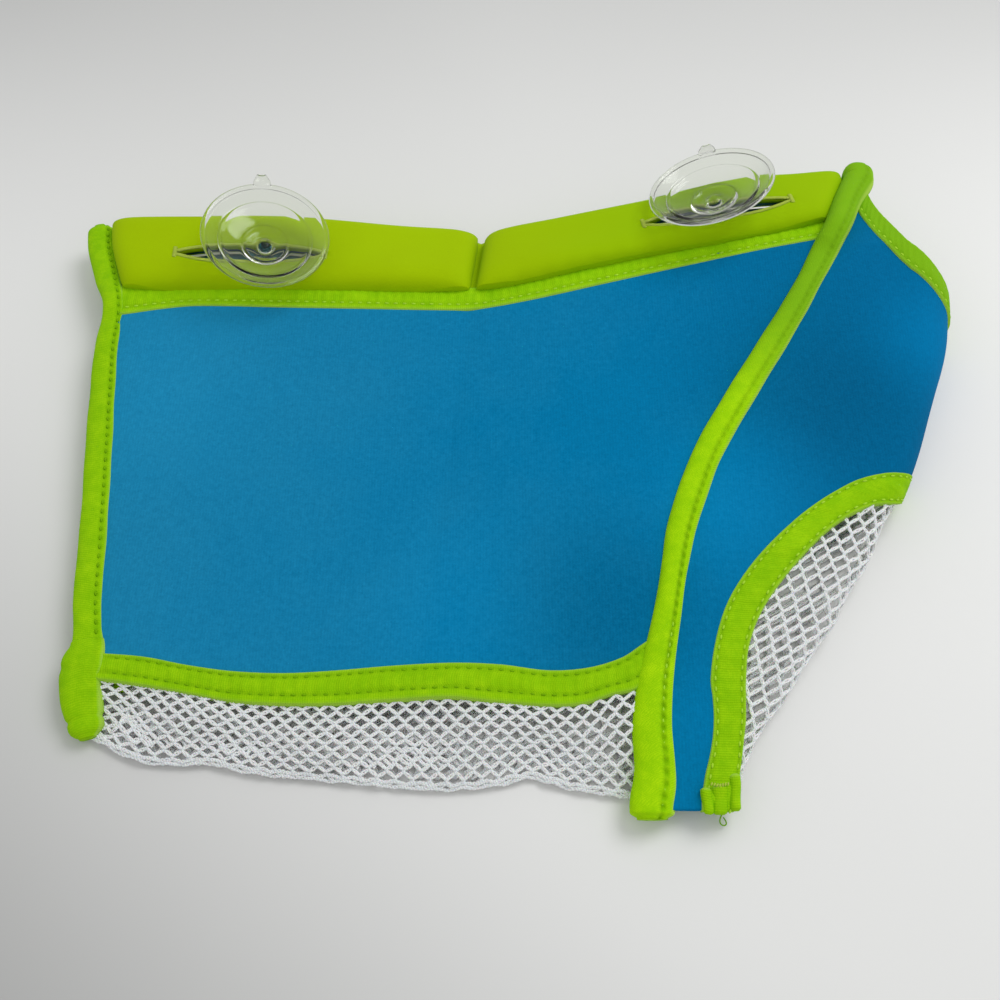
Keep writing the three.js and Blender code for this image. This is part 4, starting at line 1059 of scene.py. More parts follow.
# Operators: one for each group of pieces
class POUCH_OT_back(bpy.types.Operator):
    """Blue back in two halves, its stitched tape and the hem of the band"""
    bl_idname = "pouch.back"
    bl_label = "Back"

    def execute(self, context):
        w = np.linspace(-0.985, 0.985, 220)
        v = even(90, 0.02, 3)
        low, high = np.full(220, -75.0), np.full(220, 95.0)
        for _ in range(8):
            low, high = through(TAPE_TOP, back_x(w, low)) - 4, through(HEM_LOW, back_x(w, high)) + 4
        y = low[None] + (high - low)[None] * v[:, None]
        x = back_x(w[None], y)
        z = back_z(x, y)
        inner = np.sqrt(np.clip(1 - np.abs(w[None]) ** 6, 0, 1)) * np.sin(math.pi * v)[:, None] ** 0.5
        crease = np.exp(-((x - crease_x(y)) / 5) ** 2) * 0.45
        z = z + ripple(x, y, 0.32) * inner - crease
        panel = slab("back_cloth", place(x, y, z), 0, mm(context.scene.pouch_sizes.neoprene))
        finish_piece(panel, look("blue neoprene"), blend=over_crease(),
                     replaces=("back_panel_left", "back_panel_right"))

        x0 = np.linspace(left_x(-75) + 5.2, right_x(-72) - 1, 700)
        lines = [place(x0, yy, back_z(x0, yy)) for yy in (through(TAPE_TOP, x0), through(TAPE_LOW, x0))]
        tape, rows, lies = strip("back_tape", lines[1], lines[0], grooves=(0.30, 0.83), pucker=0.14)
        finish_piece(tape, look("green tape"), blend=over_crease(),
                     replaces=("back_tape_left", "back_tape_right"))
        sewn = [row[:, 0] > KNOB_SIDE for row in rows]
        rows, lies = ([line[keep] for line, keep in zip(lines, sewn)] for lines in (rows, lies))
        sew("back_tape_stitches", rows, lies, blend=over_crease(), material="shaded thread")

        x1 = np.linspace(left_x(92) + 4, right_x(116) - 1, 760)
        edge = [place(x1, yy, back_z(x1, yy)) for yy in (through(HEM_LOW, x1), through(PAD_FOOT, x1) + 4.5)]
        hem, rows, lies = strip("band_hem", edge[0], edge[1], grooves=(0.24,), pucker=0.14)
        finish_piece(hem, look("green tape"), blend=over_crease(),
                     replaces=("band_hem_left", "band_hem_right"))
        sew("band_hem_stitches", rows, lies, blend=over_crease())
        return {"FINISHED"}


def pad_ends(side, y):
    if side == "left":
        return left_x(y) + through(FLANGE_BEND, y) + 5.4, crease_x(y) - 1.3
    return crease_x(y) + 1.3, right_x(y) - 4.6


def pad_height(side, x, y):
    """Height of a pad's top face at a place in plan"""
    first, last = pad_ends(side, y)
    foot, top = through(PAD_FOOT, x), through(PAD_TOP[side], x)
    u = np.clip((x - first) / (last - first), 0, 1)
    v = np.clip((y - foot) / (top - foot), 0, 1)
    flat = np.where(v < 0.5, 4.2, 9)
    crown = np.sqrt(np.clip(1 - np.abs(2 * u - 1) ** 22, 0, 1) * np.clip(1 - np.abs(2 * v - 1) ** flat, 0, 1))
    slack = 0.35 * np.sin(x / 13 + 1) * np.sin(y / 9) + 0.3 * np.sin(x / 29) * v
    tuck = 0.35 * np.cos(x * 2 * math.pi / 11) * np.exp(-v * 9)
    return back_z(x, y) + 2.6 + (mm(sizes().pad_thickness) - 2.6 + slack + tuck) * crown


def slot_shape(side, s, upper, grow=0.0):
    """Edge of a slot: s runs -1 to 1 along it"""
    middle, along, across = (np.array(part) for part in SLOTS[side])
    lens = 1 - np.minimum(np.abs(s) / 0.95, 1) ** 3
    tip_round = np.sqrt(1 - np.clip((np.abs(s) - 0.97) / 0.03, 0, 1) ** 2)
    half = (0.7 + (SLOT_OPENING / 2 - 0.7) * lens + grow) * tip_round
    return (middle + along * (s * (SLOT_LENGTH / 2 + grow))[..., None]
            + across * np.where(upper, half, -half)[..., None])


def slot_loop(side, grow=0.0, n=120, ends=10):
    """Closed line round a slot, in the same order as a pad's outline"""
    s = np.linspace(-0.97, 0.97, n)
    round_it = np.linspace(-1, 1, ends + 2)[1:-1]
    parts = [slot_shape(side, s, np.full(n, False), grow)]
    for sign in (1, -1):
        tips = sign * (1 - 0.03 * np.abs(round_it))
        parts.append(slot_shape(side, tips, (round_it * sign) > 0, grow))
        if sign == 1:
            parts.append(slot_shape(side, s[::-1], np.full(n, True), grow))
    return np.concatenate(parts)


def pad_outline(side, n=120, ends=10):
    """Closed outline of a pad in plan, with rounded corners"""
    round_it = (1 - np.cos(np.linspace(0, math.pi, n))) / 2
    u = 0.35 * round_it + 0.65 * np.linspace(0, 1, n)
    v = np.linspace(0, 1, ends + 2)[1:-1]
    us = np.concatenate([u, np.ones(ends), u[::-1], np.zeros(ends)])
    vs = np.concatenate([np.zeros(n), v, np.ones(n), v[::-1]])
    corner = 0.13
    near_u = np.clip(np.minimum(us, 1 - us) * 6, 0, 1)
    vs = 0.5 + (vs - 0.5) * (1 - corner * (1 - near_u) ** 2)
    near_v = np.clip(np.minimum(vs, 1 - vs) * 5, 0, 1)
    us = 0.5 + (us - 0.5) * (1 - 0.012 * (1 - near_v) ** 2)
    x = lerp(*pad_ends(side, 118 if side == "left" else 130), us)
    y = lerp(through(PAD_FOOT, x), through(PAD_TOP[side], x), vs)
    x = lerp(*pad_ends(side, y), us)
    return x, y


class POUCH_OT_band(bpy.types.Operator):
    """Padded band with its buttonhole slots, the strip over the crease and the lining in the slots"""
    bl_idname = "pouch.band"
    bl_label = "Band"

    def execute(self, context):
        for side in ("left", "right"):
            self.pad(side)
        y = np.linspace(98.5, 133.5, 30)
        w = even(12, 0.2, 3)
        x = crease_x(y)[:, None] + (w * 2 - 1)[None] * 2.6
        grid = place(x, y[:, None], back_z(x, y[:, None]))
        strip_piece = slab("crease_strip", grid, 0.2, 2.4 - 0.9 * np.exp(-((w * 2 - 1) / 0.5) ** 2)[None])
        finish_piece(strip_piece, look("lime pad"), "right_half", ("band_crease",))
        return {"FINISHED"}

    def pad(self, side):
        x_out, y_out = pad_outline(side)
        hole = slot_loop(side)
        share = even(16, 0.10, 5)
        x = hole[None, :, 0] + (x_out - hole[:, 0])[None] * share[:, None]
        y = hole[None, :, 1] + (y_out - hole[:, 1])[None] * share[:, None]
        z = pad_height(side, x, y)
        lip = np.exp(-(np.hypot(x - hole[None, :, 0], y - hole[None, :, 1]) / 1.5) ** 2)
        z = z - lip * 0.9
        top = place(x, y, z)
        wide = slot_loop(side, grow=3.2)
        base = place(wide[:, 0], wide[:, 1], back_z(wide[:, 0], wide[:, 1]) + 3.2)
        under = place(wide[:, 0], wide[:, 1], top[0][:, 2] - 2.6)
        wall = np.stack([base, lerp(base, under, 0.5), under, top[0] - (0, 0, 1.9), top[0] - (0, 0, 0.8)])
        x = wide[None, :, 0] + (x_out - wide[:, 0])[None] * share[:, None]
        y = wide[None, :, 1] + (y_out - wide[:, 1])[None] * share[:, None]
        floor = place(x, y, back_z(x, y) + lerp(3.0, 0.3, np.clip(share[:, None] * 6, 0, 1)))
        rim = np.stack([lerp(top[-1], floor[-1], t) for t in (0.35, 0.7)])
        rings = np.concatenate([top, rim, floor[::-1], wall])
        rows, cols = rings.shape[:2]
        faces = quads(rows, cols, around=True)
        for i in range(cols):
            k = (i + 1) % cols
            faces.append(((rows - 1) * cols + i, (rows - 1) * cols + k, k, i))
        uv = np.stack([rings[..., 0] + 200, rings[..., 1] + 200], -1)
        pad = outward(build(f"pad_{side}", rings, faces, uv))
        finish_piece(pad, look("lime pad"), f"{side}_half", (f"band_cover_{side}",))

        loop = slot_loop(side, grow=0.5)
        loop[:, 2] = pad_height(side, loop[:, 0], loop[:, 1]) - 0.2
        lines = [resampled(np.concatenate([loop, loop[:1]]), 0.4)]
        middle, along, across = (np.array(part) for part in SLOTS[side])
        for end in (-1, 1):
            bar = middle + along * end * (SLOT_LENGTH / 2 + 0.4) + across * np.linspace(-2.6, 2.6, 14)[:, None]
            bar[:, 2] = pad_height(side, bar[:, 0], bar[:, 1]) + 0.1
            lines.append(bar)
        ways = [np.tile(np.cross(along, across), (len(line), 1)) for line in lines]
        sew(f"slot_edging_{side}", lines, ways, f"{side}_half", material="pale thread",
            replaces=(f"buttonhole_edge_{side}",), turn=math.pi / 2 - 0.25, pitch=0.00062, reach=3.4, thread=0.0010)

        # Lining in the slot, in the darker copy of the blue neoprene that paints the shade there
        s = np.linspace(-0.98, 0.98, 60)
        low, high = (slot_shape(side, s, np.full(60, upper), 1.8) for upper in (False, True))
        grid = np.stack([lerp(low, high, t) for t in np.linspace(0, 1, 8)])
        grid[..., 2] = back_z(grid[..., 0], grid[..., 1]) + 2.75
        lining = slab(f"shaded_slot_lining_{side}", grid, 0, 0.35)
        finish_piece(lining, look("shaded slot lining"), f"{side}_half")


class POUCH_OT_cups(bpy.types.Operator):
    """Clear suction cups with their hubs, necks, heads and pull tabs, and the plates inside the pads"""
    bl_idname = "pouch.cups"
    bl_label = "Suction Cups"

    def execute(self, context):
        for side in ("left", "right"):
            self.cup(side)
            plate = frame["nodes"][f"stiffener_{side}"]
            plate.data.materials.clear()
            plate.data.materials.append(look("plate"))
        return {"FINISHED"}

    def profile(self):
        size = sizes()
        rim, wall = mm(size.cup_diameter) / 2, mm(size.cup_wall)
        hub, neck, head, foot, hub_top = 9.75, 2.5, 5.0, 3.9, 6.3
        head_top = -6.3

        def dish(r):
            return hub_top + mm(size.cup_depth) * ((r - hub) / (rim - hub)) ** 1.5
        under = np.linspace(0.06, 0.86, 20)
        radii = hub + (rim - hub) * under
        thin = lerp(wall, wall * 0.62, under)
        low = [(r, dish(r) - t) for r, t in zip(radii, thin)]
        bead, level = 1.15, dish(rim - 1.15) - 0.35
        lip = [(rim - bead + bead * math.cos(a), level + bead * math.sin(a))
               for a in np.radians(np.linspace(-130, 140, 13))]
        above = np.linspace(0.86, 0.62, 8)
        high = [(r, dish(r)) for r in hub + (rim - hub) * above]
        step = [(20.0 + 0.95 * math.cos(a), dish(20.0) + 0.95 * math.sin(a))
                for a in np.radians(np.linspace(15, 165, 7))]
        inner = [(r, dish(r)) for r in hub + (rim - hub) * np.linspace(0.46, 0.1, 9)]
        bowl = [(hub + 0.5, hub_top + 0.3), (hub + 0.1, hub_top + 0.85), (hub - 0.5, hub_top + 0.9),
                (hub - 1.1, hub_top + 0.4), (hub - 2.2, hub_top - 0.35), (5.2, hub_top - 0.75), (3.6, hub_top - 0.35),
                (2.6, hub_top + 0.6), (1.3, hub_top + 1.3), (0, hub_top + 1.5)]
        stem = [(0, head_top - 1.6), (2.2, head_top - 1.5), (head * 0.8, head_top - 1.1), (head, head_top - 0.45),
                (head - 0.15, head_top), (neck + 0.4, head_top + 0.1), (neck, head_top + 0.5), (neck, foot - 0.5),
                (neck + 0.4, foot), (hub * 0.75, foot), (hub - 0.4, foot + 0.25), (hub + 0.1, foot + 0.8)]
        return stem + low + lip + high + step + inner + bowl

    def cup(self, side):
        shift, turn_along, turn_across, tab_turn = CUP_PLACES[side]
        outline = np.array(self.profile())
        turn = np.linspace(0, 2 * math.pi, 112, endpoint=False)
        r, z = outline[1:-1, 0][:, None], outline[1:-1, 1][:, None]
        rings = np.stack([r * np.cos(turn), r * np.sin(turn), z + 0 * turn[None]], -1)
        body = np.concatenate([rings.reshape(-1, 3), [(0, 0, outline[0, 1]), (0, 0, outline[-1, 1])]])
        reach = mm(sizes().cup_diameter) / 2
        level = outline[:, 1].max()
        tab = self.tab(reach + 1.2, level - 0.8)
        turn = math.radians(tab_turn)
        swing = np.array([[math.cos(turn), -math.sin(turn), 0], [math.sin(turn), math.cos(turn), 0], [0, 0, 1]])
        middle, along, across = (np.array(part) for part in SLOTS[side])
        tilt = Matrix.Rotation(math.radians(turn_along), 3, "Y") @ Matrix.Rotation(math.radians(turn_across), 3, "X")
        basis = np.stack([along, across, np.cross(along, across)], -1) @ np.array(tilt)
        origin = middle + along * shift
        disc = outward(build(f"cup_{side}", body @ basis.T + origin, capped(*rings.shape[:2])))
        tab_points = np.concatenate([tab.reshape(-1, 3), tab[[0, -1]].mean(1)]) @ swing.T
        handle = outward(build(f"cup_tab_{side}", tab_points @ basis.T + origin, capped(*tab.shape[:2])))
        join = disc.modifiers.new("Tab", "BOOLEAN")
        join.operation, join.solver, join.object = "UNION", "EXACT", handle
        depsgraph = bpy.context.evaluated_depsgraph_get()
        whole = bpy.data.meshes.new_from_object(disc.evaluated_get(depsgraph))
        disc.modifiers.clear()
        disc.data = whole
        bpy.data.objects.remove(handle)
        whole.polygons.foreach_set("use_smooth", [True] * len(whole.polygons))
        finish_piece(disc, look("clear"), f"cup_{side}", (f"suction_cup_{side}",))

    def tab(self, reach, level):
        """Small pull tab: a rounded stub with two nibs on its end"""
        turn = np.linspace(0, 2 * math.pi, 40, endpoint=False)
        outline = np.stack([lerp(4.4, 3.1, smooth(-1, 1, np.sin(turn))) * np.sign(np.cos(turn))
                            * np.abs(np.cos(turn)) ** 0.7, 3.2 * np.sin(turn)], -1)
        outline[:, 1] += np.where(outline[:, 1] > 0, 0.9 * np.exp(-((np.abs(outline[:, 0]) - 1.9) / 0.7) ** 2), 0)
        rings = [np.column_stack([outline * size, np.full(40, z)]) for size, z in
                 ((0.82, -1.2), (0.97, -0.9), (1, -0.3), (1, 0.4), (0.96, 0.9), (0.8, 1.15))]
        return np.stack(rings) + (0, reach, level)


class POUCH_OT_front(bpy.types.Operator):
    """Wrapped front panel with its rim binding, arched tape, folded tape end and thread tail"""
    bl_idname = "pouch.front"
    bl_label = "Front"

    def execute(self, context):
        edge = tape_line(0.3)
        foot = RIGHT_SEAM_ENDS[0][0] + 0.5
        edge = np.concatenate([[(edge[0, 0], foot)], edge[edge[:, 1] > foot]])
        low = edge[edge[:, 0] <= 2]
        top = np.linspace(2, 0.03, 160)
        rim = (through(RIM_OUTER, top) + through(RIM_INNER, top)) / 2
        side = np.linspace(low[-1, 1], rim[0], 60)[1:-1]
        limit = np.concatenate([low, place(2, side, 0)[:, :2], np.stack([top, rim], -1)])
        run = arc(front_at(*limit.T)[None], 1)[0]
        q, y = (np.interp(np.linspace(0, run[-1], 330), run, column)[:, None] for column in limit.T)
        v = even(74, 0.02, 3)[None]
        self.cloth("front_cloth", -0.04 + (q + 0.04) * v, y + 0 * v, v, over_seam(), (0.29, 0.13))
        q = np.linspace(2, 3, 90)[None]
        order = np.argsort(edge[:, 0])
        low = np.interp(q, edge[order, 0], edge[order, 1])
        rim = (through(RIM_OUTER, q) + through(RIM_INNER, q)) / 2
        self.cloth("under_cloth", q + 0 * v.T, lerp(low, rim, v.T), v.T, None, (0.27, 0.10))

        middle = tape_line(0.5)
        cut = int(np.argmax(middle[:, 0] > 2))
        aim = self.outward_at(middle)
        for name, part, over, nodes in (("front_edge_tape", slice(0, cut + 1), over_seam(), ("front_tape",)),
                                        ("under_tape", slice(cut, None), None, ())):
            tape, rows, lies = strip(name, tape_line(0)[part], tape_line(1)[part], lift=-HALF_CLOTH, normals=aim[part],
                                     pucker=0.14, on=front_at)
            finish_piece(tape, look("green tape"), "front", nodes, over)
            sew(name + "_stitches", rows, lies, "front", over)

        q = np.concatenate([np.linspace(-0.04, 1, 90), np.linspace(1, 2, 160)[1:], np.linspace(2, 3, 120)[1:]])
        first, second = (np.stack([q, through(table, q)], -1) for table in (RIM_INNER, RIM_OUTER))
        aim = self.outward_at((first + second) / 2)
        for name, part, over in (("mouth_rim", q <= 2, over_seam()), ("under_rim", q >= 2, None)):
            rim, rows, lies = strip(name, first[part], second[part], lift=-1.9, thick=4.2, grooves=(0.2,), pucker=0.2,
                                    normals=aim[part], on=front_at)
            finish_piece(rim, look("green roll"), "front", ("front_rim",) if over else (), over)
            sew(name + "_stitches", rows, lies, "front", over)
        self.folded_end()
        return {"FINISHED"}

    def cloth(self, name, q, y, v, over, flat):
        """Part of the front over places (q, y), where v runs 0 to 1 from one edge to the other"""
        grid = front_at(q, y)
        free = np.clip(np.minimum(q, 2) * 2, 0, 1) * np.sin(math.pi * v) ** 0.6
        normal = np.cross(front_at(q + 1e-3, y) - front_at(q - 1e-3, y), front_at(q, y + 0.5) - front_at(q, y - 0.5))
        normal /= np.linalg.norm(normal, axis=-1, keepdims=True)
        grid = grid + normal * (ripple(grid[..., 0] + 40, grid[..., 1] * 1.2, 0.5) * free * (q < 2))[..., None]
        panel = slab(name, grid, -HALF_CLOTH, HALF_CLOTH, normal)
        finish_piece(panel, look("blue neoprene"), "front", ("front_panel",) if over else (), over)
        declare(panel, *flat, "folded", ["table"])

    def outward_at(self, places):
        step = 1e-3
        along = front_at(places[:, 0] + step, places[:, 1]) - front_at(places[:, 0] - step, places[:, 1])
        normal = np.cross(along, (0, 1, 0))
        return normal / np.linalg.norm(normal, axis=1, keepdims=True)

    def folded_end(self):
        """The tape's foot: side folds stand proud of the middle layer, and a tack holds them"""
        pieces = []
        for name, x, wide, rise, low, high in (
                ("fold_left", 81.9, 3.6, 4.6, -132, -123.4), ("fold_right", 92.0, 4.2, 5.6, -131, -118.4),
                ("fold_middle", 86.4, 5.6, 4.6, -132.2, -122.2)):
            t = np.linspace(0, 1, 34)
            y = lerp(low, high, t)
            path = place(x + 0.3 * np.sin(t * 5 + x), y, lerp(8.6, 9.9, t) + 0.25 * np.sin(t * 9))
            rings, _, _, painted_light = roll_rings(path, wide * tip(34, 0.08, 0.6), rise * tip(34, 0.1, 0.5), bumps=0.12,
                                           sides=22, phase=x)
            # Painted highlight on the folded top end
            painted_light[..., 0] = np.exp(-((t - 0.97) / 0.05) ** 2)[:, None]
            pieces.append(tube(name, rings, painted_light))
        joined = pieces[0]
        soup = bmesh.new()
        for piece in pieces:
            soup.from_mesh(piece.data)
        soup.to_mesh(joined.data)
        soup.free()
        for piece in pieces[1:]:
            bpy.data.objects.remove(piece)
        joined.name = "tape_fold"
        finish_piece(joined, look("green tape"), "front", ("tape_end",), over_seam())
        x = np.linspace(83.6, 89.4, 24)
        line = place(x, -122.6 + 0.25 * np.sin(x), 12.2)
        sew("tape_end_tack", [line], [np.tile((0, 0, 1.0), (24, 1))], "front", over_seam(), "pale thread",
            ("tape_tack",), turn=1.2, pitch=0.0009, reach=1.7, thread=0.0007)
        t = np.linspace(0, 1, 60)
        angle = t * 1.7 * math.pi
        tail = place(88.2 + 1.3 * np.cos(angle + 2.2), -131.4 - 2.9 * np.sin(t * math.pi), 1.6 + 4.4 * (1 - t) ** 4)
        rings, _, _, _ = roll_rings(tail, 0.5, 0.5, sides=8)
        loop = tube("loose_thread", rings)
        finish_piece(loop, look("shaded thread"), "front", (), over_seam())


class POUCH_OT_leaf(bpy.types.Operator):
    """Left leaf of the front under the back, with its rim and tape"""
    bl_idname = "pouch.leaf"
    bl_label = "Front Leaf"

    def execute(self, context):
        u = even(60, 0.02, 3)
        arch, rim = through(LEAF_ARCH, u), through(LEAF_RIM, u)
        for name, low, high, thick, material, slot, node in (
                ("leaf_cloth", arch, rim, 2.0, "blue neoprene", "blue_neoprene", "front_leaf"),
                ("leaf_edge_tape", np.maximum(arch - TAPE_WIDTH, -85.5), np.maximum(arch - 0.2, -84.5), 2.0,
                 "green tape", "green_tape", "leaf_tape"),
                ("leaf_mouth_rim", rim + 0.2, rim + 8.8, 3.2, "green roll", "green_tape", "leaf_rim")):
            v = even(30 if name == "leaf_cloth" else 10, 0.06, 3)
            y = low[None] + (high - low)[None] * v[:, None]
            x = left_x(y) + LEAF_INSET + u[None] * LEAF_WIDTH
            grid = place(x, y, LEAF_Z)
            full = rounding(v, 0.06)[:, None] * rounding(u, 0.02)[None]
            piece = slab(name, grid, 0, thick * full + 0.12 * np.sin(x / 6) * full)
            finish_piece(piece, look(material), "front_left", (node,))
            name == "leaf_cloth"
        return {"FINISHED"}


class POUCH_OT_seams(bpy.types.Operator):
    """Bound side seams with their stitches and the knob at the left foot"""
    bl_idname = "pouch.seams"
    bl_label = "Seams"

    def execute(self, context):
        y = np.linspace(-103.4, 140.3, 480)
        shift, wide = through(LEFT_SHIFT, y), through(LEFT_WIDTH, y)
        dip = 1.2 * np.exp(-((y - 96) / 9) ** 2) - 0.8 * np.exp(-((y - 84) / 6) ** 2)
        level = lerp(through(KNOB_HEIGHT, y), height(LEFT_HEIGHT, y) + 1.4 + dip, smooth(-76, -58, y))
        path = place(left_x(y) + through(FLANGE_BEND, y) + shift, y, level)
        ends = np.where(y < 0, tip(480, 0.016, 0.55), tip(480, 0.018, 0.55))
        depth = lerp(0.25, 0.55, smooth(-80, -60, y))
        rings, across, rise, painted_light = roll_rings(path, wide * ends, lerp(7.8, 6.4, smooth(-84, -62, y)) * ends,
                                               groove=(LEFT_GROOVE, depth, lerp(0.15, 0.6, smooth(-80, -60, y))),
                                               bumps=lerp(0.14, 0.05, smooth(-80, -60, y))[:, None], sides=44)
        cut = int(np.argmax(y > KNOB_TOP))
        piece = tube("left_binding", rings[cut - 16:], painted_light[cut - 16:])
        over = over_seam("left", -0.004, 0.004)
        finish_piece(piece, look("green tape"), "front_left", ("left_seam_binding",), over)
        fuller = 1 + 0.05 * smooth(-78, -68, y) + 0.02 * np.sin(y / 2.1) * (1 - smooth(-74, -68, y))
        fuller = fuller - 0.10 * np.exp(-((y + 96.5) / 0.9) ** 2) - 0.06 * np.exp(-((y + 79) / 1.3) ** 2)
        rings = path[:, None] + (rings - path[:, None]) * fuller[:, None, None]
        knob = tube("seam_knob", rings[:cut], painted_light[:cut])
        finish_piece(knob, look("green tape"), "front_left", ("left_seam_end",))
        line = path + across * (LEFT_GROOVE * wide / 2)[:, None] + rise * 2.45
        sew("left_binding_stitches", [line[cut + 4:-8]], [rise[cut + 4:-8]], "front_left", over, "shaded thread")

        y = np.linspace(-133.6, 163, 560)
        lift = 6 * smooth(104, 122, y)
        offset, width = (through([(row[0], row[k]) for row in RIGHT_ROLL], y) for k in (1, 2))
        path = place(right_x(y) + offset, y, height(RIGHT_HEIGHT, y) + 1.3 + lift / 2)
        ends = np.where(y < 0, tip(560, 0.008, 0.7), tip(560, 0.02, 0.42))
        wide, tall = width * ends, (8.6 + lift) * ends
        low = 1 - smooth(-80, 60, y)
        rings, across, rise, painted_light = roll_rings(path, wide, tall, bumps=0.04, sides=56, phase=1,
                                               groove=(RIGHT_GROOVE, 0.45 + 1.0 * low, 0.4 + 0.9 * low))
        piece = tube("right_binding", rings, painted_light)
        finish_piece(piece, look("green roll"), "right_half", ("right_seam_binding",))
        line = path + across * (RIGHT_GROOVE * wide / 2)[:, None] + rise * (tall * 0.24)[:, None]
        sewn = (y > -128) & (y < -62)
        sew("right_binding_stitches", [line[sewn]], [rise[sewn]], "right_half")
        return {"FINISHED"}


class POUCH_OT_nets(bpy.types.Operator):
    """Net bottom: down from the back's tape, under the pouch, and up beside the front tape"""
    bl_idname = "pouch.nets"
    bl_label = "Nets"

    def execute(self, context):
        size = context.scene.pouch_sizes
        pitch, row = mm(size.net_pitch), mm(size.net_row)
        self.back_net(pitch, row)
        self.front_net(pitch, row)
        self.leaf_net(pitch, row)
        return {"FINISHED"}

    def back_net(self, pitch, row):
        """Gathered net between the tape and the bottom fold, turned under the pouch at its foot"""
        x0, x1 = left_x(-84) + 5, right_x(-88) - 1
        flat, edges = hex_net(x1 - x0, 58, pitch, row)

        def mapped(points):
            across, down = points[:, 0], points[:, 1]
            s = np.clip(down / 44, 0, 2)
            on = np.minimum(s, 1)
            x = x0 + across + 3.2 * np.sin(across / 21 + 1) * on * (1 - on) - 4 * on * np.exp(-across / 26)
            top = through(TAPE_LOW, x) + 2.2
            foot = through(NET_FOOT, x)
            gather = 0.9 * np.sin(x / 17 + 2) + 0.5 * np.sin(x / 7.3)
            y = lerp(top, foot, on) + gather * np.sin(math.pi * on) * 0.8
            level = back_z(x, top) + 1.2
            swell = 1.5 * np.sin(x / 9 + on * 2) + 1.1 * np.sin(x / 23 - on * 3)
            z = lerp(level, 3.0, on ** 1.5) + swell * np.sin(math.pi * on)
            under = np.clip((s - 1) / 0.07, 0, 1) * math.pi
            y = y - 1.1 * np.sin(under) + np.maximum(s - 1.07, 0) * 44
            z = z - 1.05 * (1 - np.cos(under))
            return place(x, y, np.maximum(z, 0.9))
        keep = np.ones(len(flat), bool)
        along = np.arange(0, x1 - x0, 1.5)
        cords = [np.stack([along, down + 0.5 * np.sin(along / turn)], -1)
                 for down, turn in ((43.6, 1.3), (45.2, 1.7))]
        net = net_piece("back_net", flat, edges, mapped, keep, cords)
        finish_piece(net, look("net"), blend=over_crease(),
                     replaces=("back_net_left", "back_net_right"))
        declare(net, 0.235, 0.066, "gathered", ["table"])

    def front_net(self, pitch, row):
        edge = tape_line(0.72)
        flat, edges = hex_net(330, 13 - FRONT_NET_LOW, pitch, row)

        def shares(points):
            """q and y of places: across is measured from where the bulge starts to turn"""
            y = FRONT_NET_LOW + points[:, 1]
            tall, deep, turn, _ = bend(y)
            around = math.pi * np.sqrt((tall ** 2 + deep ** 2) / 2)
            back_edge = turn - (right_x(y) + FRONT_START)
            table = turn - lerp(left_x(y), crease_x(y), PANEL_LEFT)
            s = points[:, 0] - 70
            q = np.where(s < 0, 1 + s / back_edge, np.where(s < around, 1 + s / around, 2 + (s - around) / table))
            return q, y

        q, y = shares(flat)
        top = int(np.argmax((edge[:, 1] > -20) & (edge[:, 0] > 1.2)))
        limit = np.interp(y, edge[:top, 1], edge[:top, 0])
        arch_y = np.interp(q, edge[top:, 0], edge[top:, 1])
        spot = front_at(q, y)
        fold = np.where((spot[:, 0] < 60) | (q > 2), through(NET_FOOT, spot[:, 0]) + 2.5, FRONT_NET_LOW)
        keep = (q <= 3.0) & (q >= limit) & ((y <= edge[top, 1]) | (y <= arch_y) & (q > 1.2)) & (y > fold)

        def mapped(points):
            q, y = shares(points)
            spot = front_at(q, y)
            on_table = smooth(1.85, 2.1, q)
            crumple = 0.7 * np.sin(y / 6 + q * 9) + 0.6 * np.sin(y / 2.9 + q * 31)
            spot[:, 2] = lerp(spot[:, 2] + crumple * smooth(0.5, 1.1, q), 1.0 + 0.1 * np.sin(y / 5), on_table)
            spot[:, 0] -= smooth(1.0, 1.5, q) * (1 - on_table) * (1.4 + 0.6 * np.sin(y / 4.3))
            return spot
        for name, part, node, over, width in (("front_net", q <= 2.04, "side_net", over_seam(), 0.12),
                                              ("table_net", q >= 1.98, "under_net", None, 0.26)):
            net = net_piece(name, flat, edges, mapped, keep & part)
            finish_piece(net, look("net"), "front", (node,), over)
            declare(net, width, 0.13, "laid", ["table"])

    def leaf_net(self, pitch, row):
        flat, edges = hex_net(LEAF_WIDTH, 130, pitch, row)
        u = flat[:, 0] / LEAF_WIDTH
        y = LEAF_NET_LOW + flat[:, 1]
        low = through(NET_FOOT, left_x(y) + LEAF_INSET + flat[:, 0]) + 3
        keep = (u <= 1) & (y > low) & (y < through(LEAF_ARCH, u) - 10.5)

        def mapped(points):
            y = LEAF_NET_LOW + points[:, 1]
            x = left_x(y) + LEAF_INSET + points[:, 0]
            return place(x, y, 4.3 + 0.25 * np.sin(x / 6) * np.sin(y / 7))
        net = net_piece("leaf_net_strands", flat, edges, mapped, keep)
        finish_piece(net, look("net"), "front_left", ("leaf_net",))
        declare(net, 0.132, 0.13, "laid", ["table_net"])


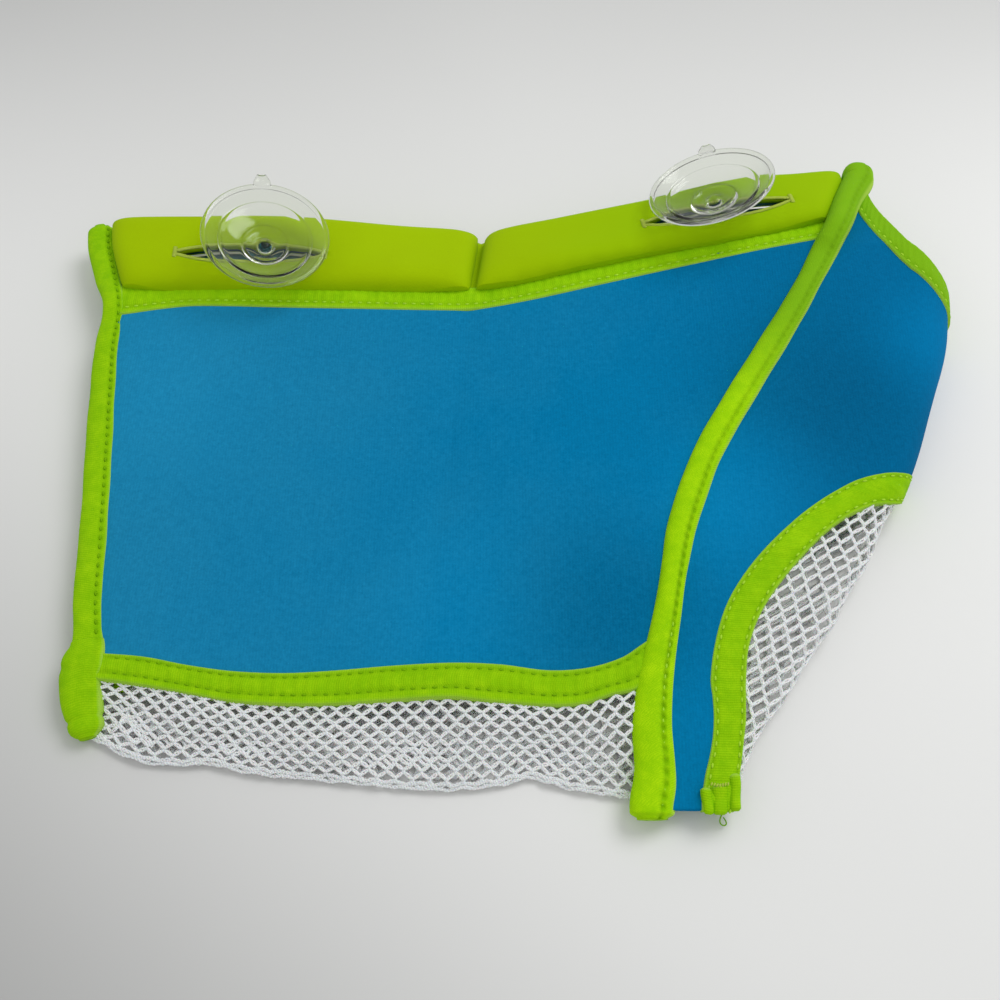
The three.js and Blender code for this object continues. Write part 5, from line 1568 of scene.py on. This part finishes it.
class POUCH_OT_stage(bpy.types.Operator):
    """Pale table, soft light from the upper right and the camera"""
    bl_idname = "pouch.stage"
    bl_label = "Stage"

    def execute(self, context):
        scene, setup = context.scene, context.scene.pouch_stage
        n = 40
        x, y = np.meshgrid(np.linspace(-3, 3, n), np.linspace(-3, 3, n))
        mesh = bpy.data.meshes.new("table")
        mesh.from_pydata(place(x, y, -0.0002).reshape(-1, 3).tolist(), [], quads(n, n))
        table = bpy.data.objects.new("table", mesh)
        scene.collection.objects.link(table)
        mesh.materials.append(look("table"))

        camera = bpy.data.cameras.new("Camera")
        camera.lens, camera.sensor_width = setup.lens, 36
        eye = bpy.data.objects.new("Camera", camera)
        eye.location = (np.array(EYE) - ORIGIN) / 1000
        eye.rotation_euler = (math.radians(EYE_TILT), 0, 0)
        scene.collection.objects.link(eye)
        scene.camera = eye

        lamp = bpy.data.lights.new("Key", "AREA")
        lamp.shape, lamp.size, lamp.energy = "DISK", 0.75, setup.key_power
        key = bpy.data.objects.new("Key", lamp)
        key.location = KEY_PLACE
        key.rotation_euler = (-key.location).to_track_quat("-Z", "Y").to_euler()
        scene.collection.objects.link(key)

        world = bpy.data.worlds.new("Room")
        world.use_nodes = True
        background = next(node for node in world.node_tree.nodes if node.type == "BACKGROUND")
        background.inputs["Color"].default_value = (1, 1, 1, 1)
        background.inputs["Strength"].default_value = setup.sky
        scene.world = world
        scene.view_settings.view_transform = "Standard"
        return {"FINISHED"}


class POUCH_PT_panel(bpy.types.Panel):
    """Lists the pouch's pieces and sizes"""
    bl_idname = "POUCH_PT_panel"
    bl_label = "Bath Toy Pouch"
    bl_space_type = "VIEW_3D"
    bl_region_type = "UI"
    bl_category = "Pouch"

    def draw(self, context):
        for operator in OPERATORS:
            self.layout.operator(operator.bl_idname)
        for group in (context.scene.pouch_sizes, context.scene.pouch_colours, context.scene.pouch_stage):
            box = self.layout.box()
            for key in group.__annotations__:
                box.prop(group, key)


OPERATORS = (POUCH_OT_stage, POUCH_OT_leaf, POUCH_OT_front, POUCH_OT_back, POUCH_OT_band, POUCH_OT_seams,
             POUCH_OT_nets, POUCH_OT_cups)
CLASSES = (PouchSizes, PouchColours, PouchStage, *OPERATORS, POUCH_PT_panel)


def register():
    for kind in CLASSES:
        bpy.utils.register_class(kind)
    bpy.types.Scene.pouch_sizes = PointerProperty(type=PouchSizes)
    bpy.types.Scene.pouch_colours = PointerProperty(type=PouchColours)
    bpy.types.Scene.pouch_stage = PointerProperty(type=PouchStage)


def unregister():
    for name in ("pouch_sizes", "pouch_colours", "pouch_stage"):
        delattr(bpy.types.Scene, name)
    for kind in reversed(CLASSES):
        bpy.utils.unregister_class(kind)


def main():
    register()
    for operator in OPERATORS:
        group, name = operator.bl_idname.split(".")
        getattr(getattr(bpy.ops, group), name)()
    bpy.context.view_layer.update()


if __name__ == "__main__":
    main()
